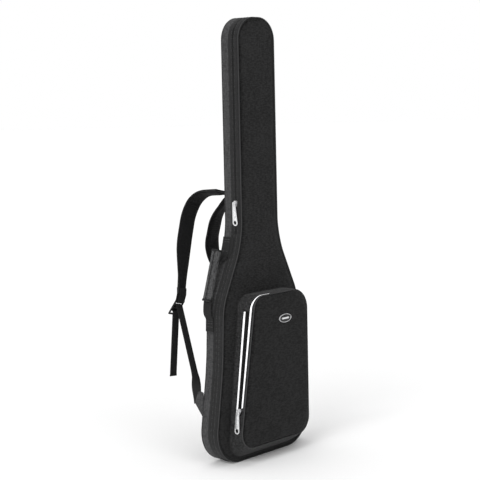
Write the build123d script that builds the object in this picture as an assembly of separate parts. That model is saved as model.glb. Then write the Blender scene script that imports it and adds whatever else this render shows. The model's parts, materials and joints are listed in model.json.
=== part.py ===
"""Padded gig bag for an electric bass: tray, book-opening lid, front pocket, carry handle and straps.

Frame: millimetres, +Z up, -Y is the front (the pocket side), +X to the right seen from the front.
The origin is on the ground under the middle of the base patch that the bag stands on.
"""

import os

from build123d import *

os.makedirs("parts", exist_ok=True)

# ---- driving dimensions -------------------------------------------------------------------------
BODY_HEIGHT = 1180.0
HALF_DEPTH = 31.0            # back face to middle of the body, piping included
BASE_HALF_WIDTH = 196.5      # where the side line meets the base
WAIST = (157.0, 270.0)       # half width and height of the corners of the side line
SHOULDER = (149.5, 428.0)
NECK_FOOT = (72.0, 595.0)
NECK_HALF_WIDTH = 71.0
BASE_RADIUS = 88.0
WAIST_RADIUS = 800.0
SHOULDER_RADIUS = 150.0
NECK_RADIUS = 240.0
HEAD_RADIUS = 60.0

SKIN = 1.0                   # woven shell cloth
FOAM = 6.0                   # padding in the side walls
LINING = 1.0
PANEL_FOAM = 7.0             # padding in the front and back panels
PANEL_SKIN = 1.5
PIPING = 3.0

ZIP_Y = -11.0                # the plane in which the lid meets the tray
LID_GAP = 0.15               # each side of that plane
TAPE_HALF = 4.0              # half the width of the zip opening between the two bands
BEHIND_COIL = 2.7            # where the padding starts behind the zip
HEATHER_FRONT = 5.0          # where the heather gusset stops and the plain zip band starts
ZIP_START_Z = 616.0          # the main zip's lower end, on the left shoulder
ZIP_BASE_X = -95.0           # the main zip's other end, under the base

BASE_PATCH = (230.0, 37.0, 1.5)

POCKET_DEPTH = 50.0
POCKET_WALL = 3.0
POCKET_FLOOR = 14.0          # at the lid
POCKET_FRONT_FLOOR = 46.0    # at the front panel, so the pocket's underside slopes
POCKET_TOP = 450.0
POCKET_RIGHT = 131.0
POCKET_LEFT = (-144.0, -92.0)        # foot and head of the slanting left side, at the lid
POCKET_FRONT_LEFT = (-149.0, -79.0)  # and at the front panel
POCKET_RADII = (46.0, 58.0, 36.0, 46.0)
POCKET_ZIP_Z = (145.0, 408.0)
STRIP_WIDTH = 6.0
STRIP_DEPTHS = (19.0, 39.0)  # where each reflective strip starts, measured from the lid
POCKET_ZIP_DEPTH = 32.0

HANDLE_Y = 17.0
HANDLE_WIDTH = 28.0
GRIP_THICK = 24.0

STRAP_TOP = (45.0, 43.0, 715.0)      # swing line of the shoulder straps, on the +X side
STRAP_FOOT = (172.0, 50.0, 172.0)
PAD_WIDTH = 58.0
PAD_THICK = 11.0
WEB_WIDTH = 25.0
WEB_THICK = 1.6
PAD_START = 21.0             # how far behind the swing line the pad starts
PAD_ROUTE = [(-3, PAD_START), (4, 112), (64, 138), (150, 139), (284, 119)]
PAD_BENDS = [60.0, 100.0, 300.0]
RIGHT_ROUTE = [(-3, PAD_START), (8, 62), (68, 124), (180, 172), (282, 123)]
RIGHT_BENDS = [80.0, 120.0, 120.0]
RIGHT_LEAN = 12.0            # how far the right strap hangs inward of the left one, in degrees
LOCK_LENGTH = 42.0
LOCK_WIDTH = 33.0
LOCK_BAR = 4.0
LOCK_TOP = Vector(305.0, 121.5)      # the ladder lock's top bar, along and behind the swing line
LOCK_RUN = Vector(0.874, 0.486)
LOCK_OUT = Vector(-0.486, 0.874)
TAIL_LENGTH = 182.0
TAIL_LEAN = 18.0

PARTS = {}


def add(name, *shapes):
    """Keep a finished node under its name."""
    PARTS[name] = shapes[0] if len(shapes) == 1 else Compound(children=list(shapes))


# ---- the body's outline and walls ---------------------------------------------------------------
def mirrored(half):
    """A closed loop of points from the right half, listed from the base up."""
    return half + [(-x, z) for x, z in reversed(half)]


def outline(inset=0.0, floor=BASE_PATCH[2]):
    """The bag's front outline as a face in X and Z, brought in by an even margin."""
    half = [(BASE_HALF_WIDTH, floor), WAIST, SHOULDER, NECK_FOOT, (NECK_HALF_WIDTH, BODY_HEIGHT)]
    radii = [BASE_RADIUS, WAIST_RADIUS, SHOULDER_RADIUS, NECK_RADIUS, HEAD_RADIUS]
    wire = FilletPolyline(*mirrored(half), radius=radii + radii[::-1], close=True)
    face = make_face(wire)
    return offset(face, -inset) if inset else face


def slab(face, front, back):
    """A face in X and Z given thickness between two depths in Y."""
    return extrude(Plane.XZ.offset(-back) * face, amount=back - front)


def ring(outer_inset, inner_inset, front, back):
    """An even wall that follows the outline all round."""
    return slab(outline(outer_inset) - outline(inner_inset), front, back)


def block(low, high):
    """A box between two corners."""
    size = [b - a for a, b in zip(low, high)]
    return Pos(*low) * Box(*size, align=(Align.MIN,) * 3)


def zip_run():
    """The space holding the whole main zip: left of the neck, over the head, down the right, under the base."""
    depth = (-60.0, 60.0)
    head = block((-300, depth[0], ZIP_START_Z), (300, depth[1], BODY_HEIGHT + 50))
    side = block((0, depth[0], -10), (300, depth[1], ZIP_START_Z))
    base = block((ZIP_BASE_X, depth[0], -10), (0, depth[1], 30))
    return head + side + base


def tray():
    """The back panel, the rear of the side wall and what is sewn to them."""
    zip_edge = ZIP_Y + TAPE_HALF
    panel_back = HALF_DEPTH - PIPING
    foam_front = panel_back - PANEL_FOAM
    inner = SKIN + FOAM
    add("back_panel_shell", slab(outline(PIPING), panel_back, panel_back + PANEL_SKIN))
    add("back_panel_foam", slab(outline(SKIN), foam_front, panel_back))
    add("rear_piping", ring(0, PIPING, panel_back, HALF_DEPTH))
    add("rear_gusset", ring(0, SKIN, HEATHER_FRONT, panel_back))
    hinge_strip = ring(0, SKIN, ZIP_Y + LID_GAP, zip_edge) - zip_run()
    add("rear_zip_band", ring(0, SKIN, zip_edge, HEATHER_FRONT) + hinge_strip)
    behind_zip = ring(BEHIND_COIL, inner, ZIP_Y + LID_GAP, zip_edge)
    add("rear_gusset_foam", ring(SKIN, inner, zip_edge, foam_front) + behind_zip)
    lining_back = slab(outline(inner + LINING), foam_front - LINING, foam_front)
    add("tray_lining", lining_back + ring(inner, inner + LINING, zip_edge, foam_front))
    tape = ring(SKIN / 2, SKIN * 2, ZIP_Y + 1.6, zip_edge) & zip_run()
    add("rear_zip_tape", tape - ring(0, SKIN, zip_edge, HEATHER_FRONT))
    add("rear_zip_coil", ring(0.3, 2.6, ZIP_Y + LID_GAP, ZIP_Y + 1.6) & zip_run())
    half, depth, thickness = BASE_PATCH[0] / 2, BASE_PATCH[1], BASE_PATCH[2]
    patch = block((-half, ZIP_Y + 2, 0), (half, ZIP_Y + 2 + depth, thickness))
    add("base_patch", chamfer(patch.edges().filter_by(Axis.Z), 8))


def lid():
    """The front panel, its strip of side wall and its half of the zip."""
    zip_edge = ZIP_Y - TAPE_HALF
    panel_front = -HALF_DEPTH + PIPING
    foam_back = panel_front + PANEL_FOAM
    inner = SKIN + FOAM
    add("front_panel_shell", slab(outline(PIPING), panel_front - PANEL_SKIN, panel_front))
    add("front_panel_foam", slab(outline(SKIN), panel_front, foam_back))
    add("front_piping", ring(0, PIPING, -HALF_DEPTH, panel_front))
    hinge_strip = ring(0, SKIN, zip_edge, ZIP_Y - LID_GAP) - zip_run()
    add("front_band", ring(0, SKIN, panel_front, zip_edge) + hinge_strip)
    behind_zip = ring(BEHIND_COIL, inner, zip_edge, ZIP_Y - LID_GAP)
    add("front_band_foam", ring(SKIN, inner, foam_back, zip_edge) + behind_zip)
    lining_front = slab(outline(inner + LINING), foam_back, foam_back + LINING)
    add("lid_lining", lining_front + ring(inner, inner + LINING, foam_back, zip_edge))
    tape = ring(SKIN / 2, SKIN * 2, zip_edge, ZIP_Y - 1.6) & zip_run()
    add("front_zip_tape", tape - ring(0, SKIN, panel_front, zip_edge))
    add("front_zip_coil", ring(0.3, 2.6, ZIP_Y - 1.6, ZIP_Y - LID_GAP) & zip_run())


# ---- inside the tray ----------------------------------------------------------------------------
def inside():
    """The foam blocks and the strap that hold the instrument."""
    back = HALF_DEPTH - PIPING - PANEL_FOAM - LINING
    cradle = block((-52, -8, 700), (52, back, 790))
    cradle = fillet(cradle.edges().filter_by(Axis.Z), 8)
    saddle = Pos(0, -22, 745) * Cylinder(33, 200)
    add("neck_cradle", cradle - saddle)
    wall = NECK_HALF_WIDTH - SKIN - FOAM - LINING - 0.3
    half_strap = block((-wall, -12, 725), (6, -10, 765))
    riser = block((-wall, -10, 725), (-wall + 2, 10, 765))
    add("neck_strap_loop_side", half_strap + riser)
    over = block((-10, -14.2, 725), (wall, -12.2, 765))
    add("neck_strap_hook_side", over + block((wall - 2, -12.2, 725), (wall, 10, 765)))
    bumper = block((-70, -12, BASE_PATCH[2] + 8.2), (70, back, 34))
    add("end_bumper", fillet(bumper.edges().filter_by(Axis.Y), 6))


# ---- the front pocket ---------------------------------------------------------------------------
def pocket_outline(inset, floor, left):
    """The pocket's outline in X and Z: a slanting left side with the zip in it, and an upright right."""
    corners = [(POCKET_RIGHT, floor), (POCKET_RIGHT, POCKET_TOP), (left[1], POCKET_TOP), (left[0], floor)]
    face = make_face(FilletPolyline(*corners, radius=list(POCKET_RADII), close=True))
    return offset(face, -inset) if inset else face


def pocket_rear_outline(inset=0.0):
    """The pocket's outline where it is sewn to the lid."""
    return pocket_outline(inset, POCKET_FLOOR, POCKET_LEFT)


def pocket_front_outline(inset=0.0):
    """The pocket's outline at its front panel."""
    return pocket_outline(inset, POCKET_FRONT_FLOOR, POCKET_FRONT_LEFT)


def pocket_solid(inset, front, back):
    """A solid between the pocket's outline at the lid and the one at its front panel."""
    rear = Plane.XZ.offset(-back) * pocket_rear_outline(inset)
    face = Plane.XZ.offset(-front) * pocket_front_outline(inset)
    return loft([rear, face], ruled=True)


def pocket():
    """The pocket's side wall, front panel, zip, reflective strips and badge."""
    back = -HALF_DEPTH + PIPING - PANEL_SKIN - 0.1
    rim = -HALF_DEPTH - POCKET_DEPTH
    wall_front = rim + PIPING
    outer = pocket_solid(0, wall_front, back)
    inner = pocket_solid(POCKET_WALL, wall_front, back)
    piping_clear = slab(outline(-1), -HALF_DEPTH, back) - slab(outline(PIPING), -HALF_DEPTH, back)
    add("pocket_gusset", outer - inner - piping_clear)
    add("pocket_front_panel", slab(pocket_front_outline(PIPING), rim + 0.5, wall_front))
    add("pocket_piping", slab(pocket_front_outline() - pocket_front_outline(PIPING), rim, wall_front))
    skin = pocket_solid(-0.8, wall_front, back) - outer
    def on_left_wall(depth, width, low, high):
        """A strip of the pocket's left wall, laid on its outer face."""
        start = -HALF_DEPTH - depth
        return skin & block((-200, start - width, low), (-40, start, high))

    add("reflective_strips", *[on_left_wall(d, STRIP_WIDTH, *POCKET_ZIP_Z) for d in STRIP_DEPTHS])
    tape_start = STRIP_DEPTHS[0] + STRIP_WIDTH + 0.1
    tape_width = STRIP_DEPTHS[1] - STRIP_DEPTHS[0] - STRIP_WIDTH - 0.2
    low, high = POCKET_ZIP_Z
    add("pocket_zip_coil", on_left_wall(tape_start, tape_width, low, high))
    add("pocket_zip_stop", on_left_wall(tape_start, tape_width, low - 8, low - 0.2))
    badge = Pos(34, rim + 0.5, 378) * Rot(90, 0, 0) * extrude(Ellipse(24, 11.5), amount=2)
    add("badge", badge)


# ---- zip sliders and their pulls ----------------------------------------------------------------
SLIDER_Z = 692.0             # middle of the main slider, on the straight stretch of the neck
SLIDER = (11.0, 16.0, 4.0)   # width across the zip, length along it, height off the tape
SLIDER_CLEAR = 1.6
POCKET_SLIDER_CLEAR = 2.4
PULL = (15.0, 62.0, 1.8)
BRIDGE = 3.2                 # how far the bridge stands off the slider


def slider():
    """A slider with its back at X 0, facing -X, its nose up, and the bridge that holds the pull."""
    width, length, height = SLIDER
    plate = Pos(-height / 2, 0, 0) * Box(height, width, length)
    plate = fillet(plate.edges().filter_by(Axis.X), 3)
    outer = Pos(-height - BRIDGE / 2, 0, 0) * Box(BRIDGE, 4.4, length * 0.8)
    gap = Pos(-height - BRIDGE / 2 + 1.0, 0, -1) * Box(BRIDGE - 1.2, 6, length * 0.55)
    return plate + (outer - gap)


def pull():
    """A zip pull hanging down from the slider's bridge: an eye, a tapered plate and a hole near its foot."""
    width, length, thick = PULL
    plate = Pos(0, 0, -length / 2) * Box(thick, width, length)
    plate = fillet(plate.edges().filter_by(Axis.X), 4)
    hole = Pos(0, 0, -length + 7) * Rot(0, 90, 0) * Cylinder(2.5, 10)
    return plate - hole


def slider_set(prefix, place):
    """A slider and its pull, put in place together."""
    add(prefix + "_slider", place * slider())
    add(prefix + "_pull", place * Pos(-SLIDER[2] - BRIDGE - 1.3, 0, 3) * pull())


def sliders():
    """The main slider on the neck's left side and the pocket slider on the pocket's left wall."""
    slider_set("main_zip", Pos(-NECK_HALF_WIDTH - SLIDER_CLEAR, ZIP_Y, SLIDER_Z))
    share = POCKET_ZIP_DEPTH / POCKET_DEPTH
    foot = POCKET_LEFT[0] + share * (POCKET_FRONT_LEFT[0] - POCKET_LEFT[0])
    head = POCKET_LEFT[1] + share * (POCKET_FRONT_LEFT[1] - POCKET_LEFT[1])
    floor = POCKET_FLOOR + share * (POCKET_FRONT_FLOOR - POCKET_FLOOR)
    lean = Vector(head - foot, 0, POCKET_TOP - floor)
    z = POCKET_ZIP_Z[0] + 4
    x = foot + lean.X * (z - floor) / lean.Z - POCKET_SLIDER_CLEAR
    depth = -HALF_DEPTH - POCKET_ZIP_DEPTH
    tilt = Plane(origin=(x, depth, z), x_dir=(lean.Z, 0, -lean.X), z_dir=lean)
    slider_set("pocket_zip", tilt.location)


# ---- the carry handle ---------------------------------------------------------------------------
def band(points, radii, width, thickness, across):
    """A flat strap: a rectangle swept along a route of straight runs joined by arcs."""
    route = FilletPolyline(*points, radius=radii)
    section = Plane(origin=route @ 0, x_dir=across, z_dir=route % 0) * Rectangle(width, thickness)
    return sweep(section, path=route, transition=Transition.RIGHT)


HANDLE_TOP = (-106.0, 542.0)     # where the loose part of the handle starts, in X and Z
HANDLE_FOOT = (-160.0, 401.0)
GRIP_TOP = (-125.0, 571.0)
GRIP_FOOT = (-162.5, 437.0)


def handle():
    """A webbing handle on the left shoulder with a padded grip round it, and the two tabs that hold it."""
    across = (0, 1, 0)
    sleeve = Vector(GRIP_TOP[0] - GRIP_FOOT[0], 0, GRIP_TOP[1] - GRIP_FOOT[1])
    axis = Plane(origin=(GRIP_FOOT[0], HANDLE_Y, GRIP_FOOT[1]), x_dir=across, z_dir=sleeve)
    grip = extrude(axis * RectangleRounded(HANDLE_WIDTH + 1, GRIP_THICK, 10), amount=sleeve.length)
    route = [HANDLE_TOP, (-126.0, 549.0), (-160.0, 424.0), HANDLE_FOOT]
    points = [(x, HANDLE_Y, z) for x, z in route]
    webbing = band(points, [6.0, 12.0], HANDLE_WIDTH - 4, 2.4, across)
    add("handle_webbing", webbing)
    add("handle_grip", grip - webbing)
    low = HANDLE_Y - HANDLE_WIDTH / 2
    shell = slab(outline(-2.0) - outline(-0.1), low, low + HANDLE_WIDTH)
    add("handle_upper_tab", shell & block((-200, 0, 548), (-60, 40, 602)))
    add("handle_lower_tab", shell & block((-200, 0, 352), (-60, 40, 392)))


# ---- backpack straps ----------------------------------------------------------------------------
def strap_plane():
    """The flat in which a strap's route is drawn: along the swing line, and out behind the bag."""
    top, foot = Vector(*STRAP_TOP), Vector(*STRAP_FOOT)
    along = (foot - top).normalized()
    across = along.cross(Vector(0, 1, 0)).normalized()
    return Plane(origin=top, x_dir=along, z_dir=across)


def at_lock(along, out):
    """A place on the ladder lock: along it from its top bar, and out from its middle."""
    place = LOCK_TOP + LOCK_RUN * along + LOCK_OUT * out
    return (place.X, place.Y)


def pinched(near, far, thickness):
    """The end of a webbing, gathered to a narrow tip at its stitching, in X and Y with the tip at near."""
    wide, tip = WEB_WIDTH / 2, 1.5
    half = [(tip, near), (wide, near + 9), (wide, far)]
    shape = half + [(-x, y) for x, y in reversed(half)]
    return Pos(0, 0, -thickness / 2) * extrude(make_face(Polyline(*shape, close=True)), amount=thickness)


def shoulder_pad(flat, lay, route, bends):
    """The padded part of a strap: wide over the shoulder, narrow where the webbing starts."""
    across = flat.z_dir
    pad = band(lay(route), bends, PAD_WIDTH, PAD_THICK, across)
    half, tip = PAD_WIDTH / 2 + 1, WEB_WIDTH / 2 + 2
    taper = [(-60, half), (190, half), (285, tip), (300, tip)]
    taper = taper + [(s, -w) for s, w in reversed(taper)]
    flat_on = Plane(origin=flat.origin, x_dir=flat.x_dir, z_dir=flat.y_dir)
    pad = pad & extrude(flat_on * make_face(Polyline(*taper, close=True)), amount=200)
    end_on = Plane(origin=lay([(-3, 0)])[0], x_dir=across, z_dir=-flat.x_dir)
    return pad + end_on * pinched(1.0, PAD_START + 0.5, 4.0)


def ladder_lock(flat, lay):
    """A moulded frame of three bars, tipped out from the webbing that holds it."""
    middle = lay([at_lock(LOCK_LENGTH / 2, 0)])[0]
    outward = lay([at_lock(LOCK_LENGTH / 2, 1)])[0] - middle
    plate = Box(LOCK_WIDTH, LOCK_LENGTH + LOCK_BAR, LOCK_BAR)
    slot = Box(WEB_WIDTH + 1.5, LOCK_LENGTH / 2 - LOCK_BAR, 20)
    frame = plate - Pos(0, LOCK_LENGTH / 4, 0) * slot - Pos(0, -LOCK_LENGTH / 4, 0) * slot
    return Plane(origin=middle, x_dir=flat.z_dir, z_dir=outward) * frame


def strap(pad_route, pad_bends):
    """The nodes of a shoulder strap on the right, by name."""
    flat = strap_plane()
    across = flat.z_dir

    def lay(points):
        """Points given along and behind the swing line, put in the bag's frame."""
        return [flat.from_local_coords(Vector(s, n, 0)) for s, n in points]

    loop_route = lay([(285.2, 124.2), at_lock(4.5, 4.2), at_lock(4.5, -6.0), (285.2, 113.0)])
    loop = band(loop_route, [2.5, 2.5], WEB_WIDTH, WEB_THICK, across)
    threaded = [at_lock(11.0, -6.5), at_lock(11.0, 4.6), at_lock(31.0, 4.6), at_lock(31.0, -6.0)]
    route = lay([(526.0, 11.0), *threaded])
    tail = route[-1] + Vector(0, TAIL_LEAN, -TAIL_LENGTH)
    webbing = band([*route, tail], [2.5, 2.5, 2.5, 2.5], WEB_WIDTH, WEB_THICK, across)
    return {
        "shoulder_pad": shoulder_pad(flat, lay, pad_route, pad_bends),
        "pad_loop": loop,
        "ladder_lock": ladder_lock(flat, lay),
        "strap_webbing": webbing,
    }


def straps():
    """Both shoulder straps, and what holds them to the back panel."""
    swing_line = Axis(Vector(*STRAP_TOP), Vector(*STRAP_FOOT) - Vector(*STRAP_TOP))
    for name, shape in strap(RIGHT_ROUTE, RIGHT_BENDS).items():
        add("right_" + name, shape.rotate(swing_line, -RIGHT_LEAN))
    for name, shape in strap(PAD_ROUTE, PAD_BENDS).items():
        add("left_" + name, mirror(shape, about=Plane.YZ))
    patch = block((-66, HALF_DEPTH - 1.4, 694), (66, HALF_DEPTH + 1.4, 738))
    tongue = Pos(STRAP_TOP[0], STRAP_TOP[1], STRAP_TOP[2] + 3) * Rot(0, 0, 180) * pinched(1.0, 10.6, 4.0)
    add("strap_anchor_patch", patch + tongue + mirror(tongue, about=Plane.YZ))
    wing = Polyline((HALF_DEPTH, 192), (46, 197), (57, 163), (HALF_DEPTH, 128), close=True)
    tab = extrude(Plane.YZ.offset(STRAP_FOOT[0] - 2) * make_face(wing), amount=4)
    add("right_strap_tab", tab)
    add("left_strap_tab", mirror(tab, about=Plane.YZ))


tray()
lid()
inside()
pocket()
sliders()
handle()
straps()
for node, solid in PARTS.items():
    export_step(solid, f"parts/{node}.step")
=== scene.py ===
"""The looks of a padded gig bag for an electric bass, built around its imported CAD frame.

Sizes in the classes are millimetres in the bag's own frame: +Z up, -Y the front, +X to the right seen
from the front. Workshop.place brings each finished piece to metres.
"""

import json
import logging
import math
from dataclasses import dataclass, field
from enum import Enum
from typing import Callable, Iterable, Optional, Sequence, Union

import bmesh
import bpy
from mathutils import Matrix, Vector, noise

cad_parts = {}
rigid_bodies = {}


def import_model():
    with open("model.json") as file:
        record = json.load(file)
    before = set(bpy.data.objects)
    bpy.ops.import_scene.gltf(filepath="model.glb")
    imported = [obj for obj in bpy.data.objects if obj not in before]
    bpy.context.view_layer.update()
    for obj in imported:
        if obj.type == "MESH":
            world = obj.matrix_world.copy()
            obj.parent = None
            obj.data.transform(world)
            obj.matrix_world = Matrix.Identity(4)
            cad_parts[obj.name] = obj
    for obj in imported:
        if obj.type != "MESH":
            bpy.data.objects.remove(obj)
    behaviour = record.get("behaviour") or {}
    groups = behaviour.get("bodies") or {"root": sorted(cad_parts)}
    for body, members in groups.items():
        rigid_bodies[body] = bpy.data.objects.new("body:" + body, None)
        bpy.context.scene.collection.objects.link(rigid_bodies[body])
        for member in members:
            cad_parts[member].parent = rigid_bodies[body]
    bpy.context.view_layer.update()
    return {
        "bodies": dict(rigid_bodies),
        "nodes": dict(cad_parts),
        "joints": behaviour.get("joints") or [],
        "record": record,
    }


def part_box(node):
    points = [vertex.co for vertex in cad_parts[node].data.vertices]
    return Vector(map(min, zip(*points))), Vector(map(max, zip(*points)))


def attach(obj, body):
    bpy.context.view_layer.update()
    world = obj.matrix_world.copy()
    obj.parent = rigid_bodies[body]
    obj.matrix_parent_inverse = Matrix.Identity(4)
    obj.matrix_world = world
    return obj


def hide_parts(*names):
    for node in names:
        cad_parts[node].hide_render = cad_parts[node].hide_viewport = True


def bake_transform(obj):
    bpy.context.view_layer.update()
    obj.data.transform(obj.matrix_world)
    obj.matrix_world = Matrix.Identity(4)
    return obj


LOG = logging.getLogger("gig_bag")
MM = 0.001
Colour = tuple[float, float, float]
Ring = list[Vector]
Section = list[tuple[float, float]]
Form = bmesh.types.BMesh
Piece = bpy.types.Object
Span = tuple[Vector, Vector]
BACKWARD = Vector((0.0, 1.0, 0.0))
UPWARD = Vector((0.0, 0.0, 1.0))
SMOOTH_DEG = 48.0
PADDING_FRAMES = 20


class Body(str, Enum):
    """The bodies that the bag's pieces ride on."""

    TRAY = "root"
    LID = "front_cover"
    MAIN_SLIDER = "main_zip_slider"
    MAIN_PULL = "main_zip_pull"
    POCKET_SLIDER = "pocket_zip_slider"
    POCKET_PULL = "pocket_zip_pull"
    HANDLE = "carry_handle"
    LEFT_STRAP = "left_strap"
    RIGHT_STRAP = "right_strap"


# ---- shader maths -------------------------------------------------------------------------------
class Value:
    """A shader number that Python's own arithmetic works on."""

    def __init__(self, graph: "Graph", socket: bpy.types.NodeSocket) -> None:
        """Wraps one output socket of a graph."""
        self.graph = graph
        self.socket = socket

    def _maths(self, operation: str, first: "Number", second: "Number" = 0.0) -> "Value":
        """Adds one Math node.

        Args:
            operation: Blender's name for the operation.
            first: the first operand.
            second: the second operand, for operations that take one.

        Returns:
            The node's result.
        """
        made = self.graph.node("ShaderNodeMath", {"operation": operation}, {0: first, 1: second})
        return Value(self.graph, made.outputs[0])

    def __add__(self, other: "Number") -> "Value":
        """Self plus other."""
        return self._maths("ADD", self, other)

    def __radd__(self, other: "Number") -> "Value":
        """Other plus self."""
        return self._maths("ADD", other, self)

    def __sub__(self, other: "Number") -> "Value":
        """Self minus other."""
        return self._maths("SUBTRACT", self, other)

    def __rsub__(self, other: "Number") -> "Value":
        """Other minus self."""
        return self._maths("SUBTRACT", other, self)

    def __mul__(self, other: "Number") -> "Value":
        """Self times other."""
        return self._maths("MULTIPLY", self, other)

    def __rmul__(self, other: "Number") -> "Value":
        """Other times self."""
        return self._maths("MULTIPLY", other, self)

    def sine(self) -> "Value":
        """The sine of an angle in radians."""
        return self._maths("SINE", self)

    def size(self) -> "Value":
        """The value without its sign."""
        return self._maths("ABSOLUTE", self)


Number = Union[Value, float]


class Graph:
    """A new material and the nodes in it."""

    def __init__(self, name: str) -> None:
        """Starts an empty material.

        Args:
            name: the material's name.
        """
        self.material = bpy.data.materials.new(name)
        self.material.use_nodes = True
        self.tree = self.material.node_tree
        self.tree.nodes.clear()
        self.place = self.node("ShaderNodeTexCoord").outputs["Object"]

    def node(self, kind: str, settings: Optional[dict] = None,
             inputs: Optional[dict] = None) -> bpy.types.Node:
        """Adds any node.

        Args:
            kind: the node's type.
            settings: its own settings; "stops" sets a colour ramp's stops.
            inputs: values or links for its sockets, by name or number.

        Returns:
            The node.
        """
        made = self.tree.nodes.new(kind)
        for key, value in (settings or {}).items():
            if key == "stops":
                for stop, (position, shade) in zip(made.color_ramp.elements, value):
                    stop.position = position
                    stop.color = (shade, shade, shade, 1.0)
            else:
                setattr(made, key, value)
        for key, value in (inputs or {}).items():
            if isinstance(value, Value):
                value = value.socket
            if isinstance(value, bpy.types.NodeSocket):
                self.tree.links.new(value, made.inputs[key])
            else:
                made.inputs[key].default_value = value
        return made

    def noise(self, feature_mm: float, detail: float = 2.0, stretch: Colour = (1.0, 1.0, 1.0)) -> Value:
        """Cloudy noise fixed to the bag.

        Args:
            feature_mm: the size of its features.
            detail: how many finer layers it has.
            stretch: how much shorter its features are along X, Y and Z.

        Returns:
            The noise, around 0.5.
        """
        scaled = self.node("ShaderNodeMapping", None, {"Vector": self.place, "Scale": stretch})
        made = self.node("ShaderNodeTexNoise", None, {
            "Vector": scaled.outputs[0], "Scale": 1.0 / (feature_mm * MM), "Detail": detail, "Roughness": 0.6,
        })
        return Value(self, made.outputs[0])

    def ramp(self, value: Value, low: float, high: float) -> Value:
        """Stretches the part of a value between two levels to 0..1."""
        made = self.node("ShaderNodeValToRGB", {"stops": [(low, 0.0), (high, 1.0)]}, {0: value})
        return Value(self, made.outputs[0])

    def attribute(self, name: str) -> Value:
        """A number stored on the piece's own points."""
        made = self.node("ShaderNodeAttribute", {"attribute_name": name})
        return Value(self, made.outputs["Fac"])

    def axes(self) -> list[Value]:
        """The bag's X, Y and Z, in metres."""
        made = self.node("ShaderNodeSeparateXYZ", None, {0: self.place})
        return [Value(self, output) for output in made.outputs]

    def mix(self, share: Number, first: object, second: object) -> bpy.types.NodeSocket:
        """Mixes two colours by a share from 0 to 1.

        Args:
            share: how much of the second there is, from 0 to 1.
            first: one colour, as a tuple or a link.
            second: the other.

        Returns:
            The mixed colour's socket.
        """
        settings = {"data_type": "RGBA"}
        made = self.node("ShaderNodeMix", settings, {0: share, 6: opaque(first), 7: opaque(second)})
        return made.outputs[2]

    def relief(self, height: Value, depth_mm: float, strength: float = 1.0) -> bpy.types.NodeSocket:
        """A normal bent by a height from 0 to 1.

        Args:
            height: the height, from 0 to 1.
            depth_mm: how far apart 0 and 1 are.
            strength: how strongly the normal bends.

        Returns:
            The normal's socket.
        """
        made = self.node("ShaderNodeBump", None, {
            "Height": height, "Distance": depth_mm * MM, "Strength": strength,
        })
        return made.outputs[0]

    def surface(self, **inputs: object) -> bpy.types.Material:
        """Closes the material with one Principled shader.

        Args:
            inputs: its sockets, with underscores for the spaces in their names.

        Returns:
            The finished material.
        """
        named = {key.replace("_", " "): value for key, value in inputs.items()}
        shader = self.node("ShaderNodeBsdfPrincipled", None, named)
        self.node("ShaderNodeOutputMaterial", None, {0: shader.outputs[0]})
        return self.material


def opaque(colour: object) -> object:
    """A colour with an alpha of 1, or a link as it is."""
    return (*colour, 1.0) if isinstance(colour, tuple) else colour


# ---- finishes -----------------------------------------------------------------------------------
@dataclass(frozen=True)
class Finish:
    """What a piece's surface is made of."""

    name: str
    slot: str

    def dress(self) -> bpy.types.Material:
        """Builds the material."""
        raise NotImplementedError


@dataclass(frozen=True)
class Cloth(Finish):
    """Woven cloth with mixed light and dark threads."""

    dark: Colour = (0.01, 0.01, 0.01)
    light: Colour = (0.03, 0.03, 0.03)
    thread_mm: float = 1.3
    speckle_mm: float = 5.0
    flat_share: float = 0.42
    contrast: float = 0.12
    relief_mm: float = 0.5
    roughness: float = 0.9
    sheen: float = 0.05

    def dress(self) -> bpy.types.Material:
        """Builds crossed thread streaks, speckles, slow patches and a plain weave's relief.

        Returns:
            The material.
        """
        graph = Graph(self.name)
        flat = graph.noise(self.speckle_mm, 3.0, (0.5, 0.5, 1.6))
        upright = graph.noise(self.speckle_mm, 3.0, (1.6, 1.6, 0.4))
        patches = graph.noise(70.0, 3.0)
        mixed = flat * self.flat_share + upright * (0.85 - self.flat_share) + patches * 0.15
        share = graph.ramp(mixed, 0.5 - self.contrast, 0.5 + self.contrast)
        turn = 2 * math.pi / (self.thread_mm * MM)
        waves = [(axis * turn).sine() for axis in graph.axes()]
        weave = (waves[0] + waves[1] + waves[2]) * 0.16 + 0.5
        fuzz = graph.noise(self.thread_mm * 0.8, 3.0)
        height = weave * 0.6 + fuzz * 0.4
        colour = graph.mix(share, self.dark, self.light)
        return graph.surface(
            Base_Color=colour, Roughness=self.roughness + (share - 0.5) * 0.1,
            Normal=graph.relief(height, self.relief_mm, 0.8),
            Sheen_Weight=self.sheen, Sheen_Roughness=0.6, Specular_IOR_Level=0.14,
        )


@dataclass(frozen=True)
class Webbing(Finish):
    """Narrow woven strap with cross ribs and firm edges, on the piece's own along and across."""

    dark: Colour = (0.006, 0.006, 0.006)
    light: Colour = (0.02, 0.02, 0.02)
    rib_mm: float = 1.7
    chevron_mm: float = 6.0
    relief_mm: float = 0.45
    specular: float = 0.25

    def dress(self) -> bpy.types.Material:
        """Builds ribs that run in chevrons across the strap.

        Returns:
            The material.
        """
        graph = Graph(self.name)
        along, across = graph.attribute("along"), graph.attribute("across")
        slope = (across * (2 * math.pi / self.chevron_mm)).sine() * 0.6
        ribs = (along * (2 * math.pi / self.rib_mm) + slope).sine() * 0.5 + 0.5
        fuzz = graph.noise(1.2, 3.0)
        height = ribs * 0.75 + fuzz * 0.25
        # The colour darkens with the height into the rib valleys: painted shade in the grooves.
        colour = graph.mix(height, self.dark, self.light)
        return graph.surface(
            Base_Color=colour, Roughness=0.95 - height * 0.25,
            Normal=graph.relief(height, self.relief_mm, 0.8), Specular_IOR_Level=self.specular,
        )


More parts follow.
